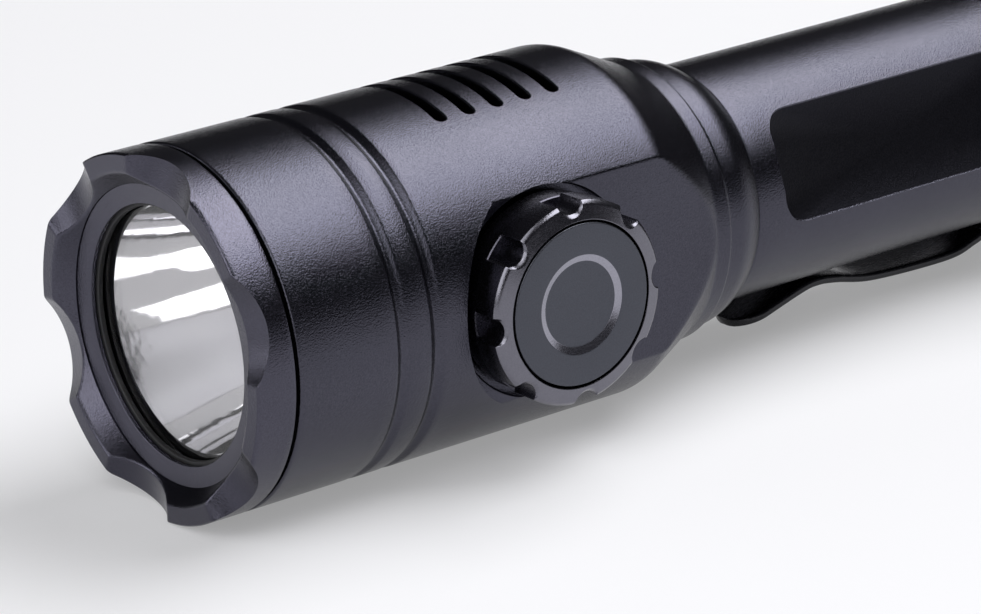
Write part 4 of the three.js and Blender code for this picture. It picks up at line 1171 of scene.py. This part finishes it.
blasted = anodised("blasted_anodised", (0.043, 0.0425, 0.055), (0.077, 0.0765, 0.098), 0.22, 0.8)
turned_smooth = anodised("turned_anodised", (0.06, 0.058, 0.074), (0.095, 0.092, 0.115), 0.27, 0.45)
bezel_metal = anodised("bezel_anodised", (0.052, 0.051, 0.067), (0.088, 0.086, 0.112), 0.22, 0.7)
button_metal = anodised("button_anodised", (0.067, 0.07, 0.084), (0.088, 0.092, 0.11), 0.34, 0.6)
# The knob's face and chamfer take its anodising about twice as bright: a painted highlight.
rim_painted_highlight = anodised("rim_painted_highlight_anodised", (0.13, 0.128, 0.15), (0.18, 0.177, 0.208), 0.22, 0.15)
# A near-black copy of the anodising for the panel floors: painted shade in the recesses.
panel_painted_shade = anodised("panel_painted_shade_anodised", (0.012, 0.012, 0.016), (0.022, 0.022, 0.028), 0.4, 0.5)
# A much brighter copy of the anodising for the button's dish slope: a painted highlight on that ring.
dish_painted_highlight = anodised("dish_painted_highlight_anodised", (0.26, 0.257, 0.3), (0.33, 0.327, 0.38), 0.22, 0.12)


def black_spring_steel():
    """Oxide-black spring steel, polished by use along its grain."""
    made = Finish("black_spring_steel", Metallic=0.85, Coat_Weight=0.3, Coat_Roughness=0.15)
    streak = made.noise(400, 3.0, 0.6, made.stretch((8, 0.4, 8)))
    made.set("Base Color", made.blend(streak, (0.012, 0.012, 0.014), (0.03, 0.03, 0.034)))
    made.set("Roughness", made.range(streak, 0.3, 0.7, 0.2, 0.34))
    made.bump(streak, 0.00002, 0.3)
    return made.material


def bare_metal(name, dark, light, roughness):
    """Turned bare metal with fine rings of tool marks."""
    made = Finish(name, Metallic=1.0)
    marks = made.noise(2500, 2.0)
    made.set("Base Color", made.blend(marks, dark, light))
    made.set("Roughness", made.range(marks, 0.3, 0.7, roughness - 0.05, roughness + 0.08))
    made.bump(marks, 0.00002, 0.3)
    return made.material


def mirror_coat():
    """Vacuum-coated aluminium: almost a mirror, with the gentle dimples called orange peel."""
    made = Finish("reflector_mirror", Metallic=1.0)
    peel = made.noise(900, 1.0, 0.4)
    haze = made.noise(120, 2.0)
    made.set("Base Color", made.blend(haze, (0.88, 0.87, 0.9), (0.95, 0.95, 0.97)))
    made.set("Roughness", made.range(haze, 0.3, 0.7, 0.03, 0.08))
    made.bump(peel, 0.00002, 0.4)
    return made.material


# %% [markdown]
# The rest are soft or clear: rubber seals, the window, plastics and boards inside.


# %% Other finishes
def speckled(name, dark, light, roughness, scale=1500, depth=0.00003, **constants):
    """Rubber or moulded plastic with a fine matte grain."""
    made = Finish(name, **constants)
    grain = made.noise(scale, 3.0, 0.6)
    made.set("Base Color", made.blend(grain, dark, light))
    made.set("Roughness", made.range(grain, 0.3, 0.7, roughness - 0.06, roughness + 0.08))
    made.bump(grain, depth, 0.5)
    return made.material


def window_finish():
    """Coated glass: clear, with a faint haze of dust on it."""
    made = Finish("window_glass", Transmission_Weight=1.0, IOR=1.35)
    dust = made.noise(300, 4.0, 0.7)
    made.set("Roughness", made.range(dust, 0.55, 0.8, 0.0, 0.02))
    return made.material


def phosphor():
    """The emitter: a yellow square of phosphor under a clear dome."""
    made = Finish("phosphor", Coat_Weight=1.0, Coat_Roughness=0.05)
    grain = made.noise(4000, 2.0)
    made.set("Base Color", made.blend(grain, (0.62, 0.5, 0.08), (0.8, 0.68, 0.16)))
    made.set("Roughness", made.range(grain, 0.3, 0.7, 0.35, 0.5))
    return made.material


finishes = {
    "anodised": blasted,
    "black_steel": black_spring_steel(),
    "bright_steel": bare_metal("bare_steel", (0.45, 0.45, 0.47), (0.6, 0.6, 0.62), 0.3),
    "rubber": speckled("black_rubber", (0.008, 0.008, 0.009), (0.018, 0.018, 0.02), 0.6),
    "mirror": mirror_coat(),
    "glass": window_finish(),
    "brass": bare_metal("gold_brass", (0.65, 0.45, 0.16), (0.8, 0.6, 0.26), 0.28),
    "board": speckled("board_green", (0.01, 0.07, 0.035), (0.02, 0.12, 0.06), 0.4, 700),
    "white_plastic": speckled("white_plastic", (0.75, 0.75, 0.72), (0.85, 0.85, 0.82), 0.5),
    "black_plastic": speckled("black_plastic", (0.015, 0.015, 0.016), (0.03, 0.03, 0.032), 0.5),
    "emitter": phosphor(),
    "cell_sleeve": speckled("cell_sleeve", (0.02, 0.06, 0.16), (0.03, 0.09, 0.22), 0.35, 200),
    "red_sleeve": speckled("red_sleeve", (0.4, 0.015, 0.012), (0.55, 0.03, 0.02), 0.4),
}

# %% [markdown]
# Every fine piece takes the place of its plain node and moves with the same body. The nodes that
# stay are inside the light, and each gets its own finish too.


# %% Put the pieces on their bodies
slot_of = {part["node"]: part["material_slot"] for part in frame["record"]["subparts"]}


def stand_in(piece, node, material=None):
    """A fine piece shown instead of a node, on the same body, with the finish of the node's slot unless
    another is given.
    """
    slot = slot_of[node]
    piece.data.materials.clear()
    piece.data.materials.append(material or finishes[slot])
    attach(piece, frame["nodes"][node]["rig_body"])
    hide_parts(node)


def add_finish(piece, material, choose):
    """Give a second material to the faces that a test on their centres and normals picks: here lighter or
    darker copies of the anodising that paint highlight or shade.
    """
    mesh = piece.data
    mesh.materials.append(material)
    centre = np.empty(3 * len(mesh.polygons))
    normal = np.empty(3 * len(mesh.polygons))
    mesh.polygons.foreach_get("center", centre)
    mesh.polygons.foreach_get("normal", normal)
    chosen = choose((centre.reshape(-1, 3) - AXIS) / MM, normal.reshape(-1, 3))
    mesh.polygons.foreach_set("material_index", chosen.astype(np.int32))
    print(piece.name, "faces in", material.name, ":", int(chosen.sum()))


def dish_slope(centre, normal):
    """The button's slope lies between two radii about the knob's axis."""
    radius = np.hypot(centre[:, 1] - knob_station, centre[:, 2])
    return (normal[:, 0] > 0.5) & (radius > DISH_RADIUS - 0.8) & (radius < DISH_RADIUS - 0.05)


def knob_rim(centre, normal):
    """The knob's face and its chamfer look outward and lie near the knob's top."""
    return (normal[:, 0] > 0.4) & (centre[:, 0] > knob_face - 1.3)


def panel_floor(centre, normal):
    """A panel's floor looks straight out of the panel's plane."""
    out = np.array([math.cos(PANEL_ANGLE), 0, math.sin(PANEL_ANGLE)])
    return (np.abs(normal @ out) > 0.95) & (np.abs(np.abs(centre @ out) - PANEL_PLANE) < 0.12)


stand_in(bezel, "strike_bezel", bezel_metal)
stand_in(window_ring, "window_ring", bezel_metal)
stand_in(window_seal, "window_seal")
stand_in(bezel_gasket, "bezel_gasket")
stand_in(window, "window")
stand_in(reflector, "reflector")
stand_in(emitter, "led_emitter")
stand_in(centring_ring, "led_centring_ring")
stand_in(head, "head_shell")
stand_in(knob, "knob_ring", turned_smooth)
stand_in(button, "button_cap", button_metal)
stand_in(tube, "battery_tube")
stand_in(clip, "pocket_clip")
stand_in(screw_front, "clip_screw_front")
stand_in(screw_rear, "clip_screw_rear")
stand_in(cap, "tail_cap")
stand_in(tail_button, "tail_button")

# Painted highlight: the button's dish slope takes the bright copy of the anodising.
add_finish(button, dish_painted_highlight, dish_slope)
# Painted highlight: the knob's face and chamfer take the brighter copy of its anodising.
add_finish(knob, rim_painted_highlight, knob_rim)
# Painted shade: the panel floors take the near-black copy of the anodising.
add_finish(tube, panel_painted_shade, panel_floor)

for name, node in frame["nodes"].items():
    node.data.materials.clear()
    node.data.materials.append(finishes[slot_of[name]])

# %% [markdown]
# ## Table, light and camera
#
# The light lies on a white table. One large soft lamp stands above it towards the tail, so the top
# of the head takes a broad highlight, and the table lights it from below. The cards before the
# bezel are out of sight of the smooth sides: they fill the mirror and leave dark gaps in it.

# %% Table
table_level = cad_box[0][2]
CAMERA_RAY = 0
GLOSSY_RAY = 3
TRANSMISSION_RAY = 6


def white_stage(name, tone, glow):
    """White paper that keeps its shadows, with a share of plain white as seen, never as light."""
    made = Finish(name, Roughness=0.7, Specular_IOR_Level=0.1)
    made.set("Base Color", (*tone, 1))
    seen = made.node("ShaderNodeLightPath", output=CAMERA_RAY)
    for ray in (GLOSSY_RAY, TRANSMISSION_RAY):
        seen = made.math("MAXIMUM", seen, made.node("ShaderNodeLightPath", output=ray))
    paper = Value(made, made.shader.outputs[0])
    white = made.node("ShaderNodeEmission")
    mix = made.node("ShaderNodeMixShader", inputs={0: seen * glow, 1: paper, 2: white})
    made.connect(mix, made.tree.nodes["Material Output"].inputs["Surface"])
    return made.material


def floor_piece():
    """A wide plane under the light."""
    reach = 6.0
    corners_round = [(-reach, -reach), (reach, -reach), (reach, reach), (-reach, reach)]
    points = [(x, y, table_level) for x, y in corners_round]
    mesh = bpy.data.meshes.new("table")
    mesh.from_pydata(points, [], [(0, 1, 2, 3)])
    floor = bpy.data.objects.new("table", mesh)
    bpy.context.scene.collection.objects.link(floor)
    mesh.materials.append(white_stage("white_paper", (0.84, 0.84, 0.87), 0.3))


floor_piece()


# %% Lamps and world
def area_lamp(name, place, target, size, power, tone=(1, 1, 1)):
    """A soft rectangular lamp that looks at a target."""
    data = bpy.data.lights.new(name, "AREA")
    data.shape = "RECTANGLE"
    data.size, data.size_y = size
    data.energy = power
    data.color = tone
    lamp = bpy.data.objects.new(name, data)
    lamp.location = place
    lamp.rotation_euler = (Vector(target) - Vector(place)).to_track_quat("-Z", "Y").to_euler()
    bpy.context.scene.collection.objects.link(lamp)
    return lamp


middle = Vector((AXIS[0], 0.0, AXIS[2]))
area_lamp("tail_softbox", middle + Vector((0.16, 0.5, 0.82)), middle, (1.15, 0.55), 11.0)
area_lamp("front_card", middle + Vector((0.45, -0.9, 0.5)), middle, (0.7, 0.8), 4.5)
area_lamp("front_card_low", middle + Vector((-0.5, -0.9, 0.3)), middle, (0.6, 0.5), 2.2)
area_lamp("front_top", middle + Vector((0.5, -0.55, 1.0)), middle, (0.7, 0.7), 3.0)


def world_light():
    """White where the camera sees it, also through glass, and nearly black where it lights."""
    world = bpy.data.worlds.new("studio")
    bpy.context.scene.world = world
    world.use_nodes = True
    tree = world.node_tree
    tree.nodes.clear()
    path = tree.nodes.new("ShaderNodeLightPath")
    seen = tree.nodes.new("ShaderNodeMath")
    seen.operation = "MAXIMUM"
    tree.links.new(path.outputs["Is Camera Ray"], seen.inputs[0])
    tree.links.new(path.outputs["Is Transmission Ray"], seen.inputs[1])
    dim = tree.nodes.new("ShaderNodeBackground")
    dim.inputs["Color"].default_value = (0.9, 0.9, 1.0, 1)
    dim.inputs["Strength"].default_value = 0.05
    bright = tree.nodes.new("ShaderNodeBackground")
    bright.inputs["Strength"].default_value = 1.0
    mix = tree.nodes.new("ShaderNodeMixShader")
    tree.links.new(seen.outputs[0], mix.inputs[0])
    tree.links.new(dim.outputs[0], mix.inputs[1])
    tree.links.new(bright.outputs[0], mix.inputs[2])
    out = tree.nodes.new("ShaderNodeOutputWorld")
    tree.links.new(mix.outputs[0], out.inputs[0])


world_light()

# %% [markdown]
# A long lens looks at the head from its front right, a little from above, and is rolled slightly.

# %% Camera
VIEW_SIDE = math.radians(52.878)
VIEW_UP = math.radians(19.415)
VIEW_ROLL = math.radians(-2.504)
VIEW_DISTANCE = 483.19
VIEW_TARGET = (2.755, 42.827, -6.233)
SENSOR = 36.0
LENS = 162.16


def camera():
    """The camera stands back from its target along the view's direction."""
    target = np.array(VIEW_TARGET) * MM + AXIS
    back = np.array(
        [
            math.cos(VIEW_UP) * math.sin(VIEW_SIDE),
            -math.cos(VIEW_UP) * math.cos(VIEW_SIDE),
            math.sin(VIEW_UP),
        ]
    )
    data = bpy.data.cameras.new("camera")
    data.sensor_width = SENSOR
    data.lens = LENS
    data.clip_start = 0.01
    data.clip_end = 50
    made = bpy.data.objects.new("camera", data)
    bpy.context.scene.collection.objects.link(made)
    level = Vector(-back).to_track_quat("-Z", "Y").to_matrix().to_4x4()
    roll = Matrix.Rotation(VIEW_ROLL, 4, "Z")
    made.matrix_world = Matrix.Translation(target + back * VIEW_DISTANCE * MM) @ level @ roll
    bpy.context.scene.camera = made


camera()
bpy.context.scene.view_settings.view_transform = "Standard"

# %% Print the sizes and finish
print("cad box", cad_box)
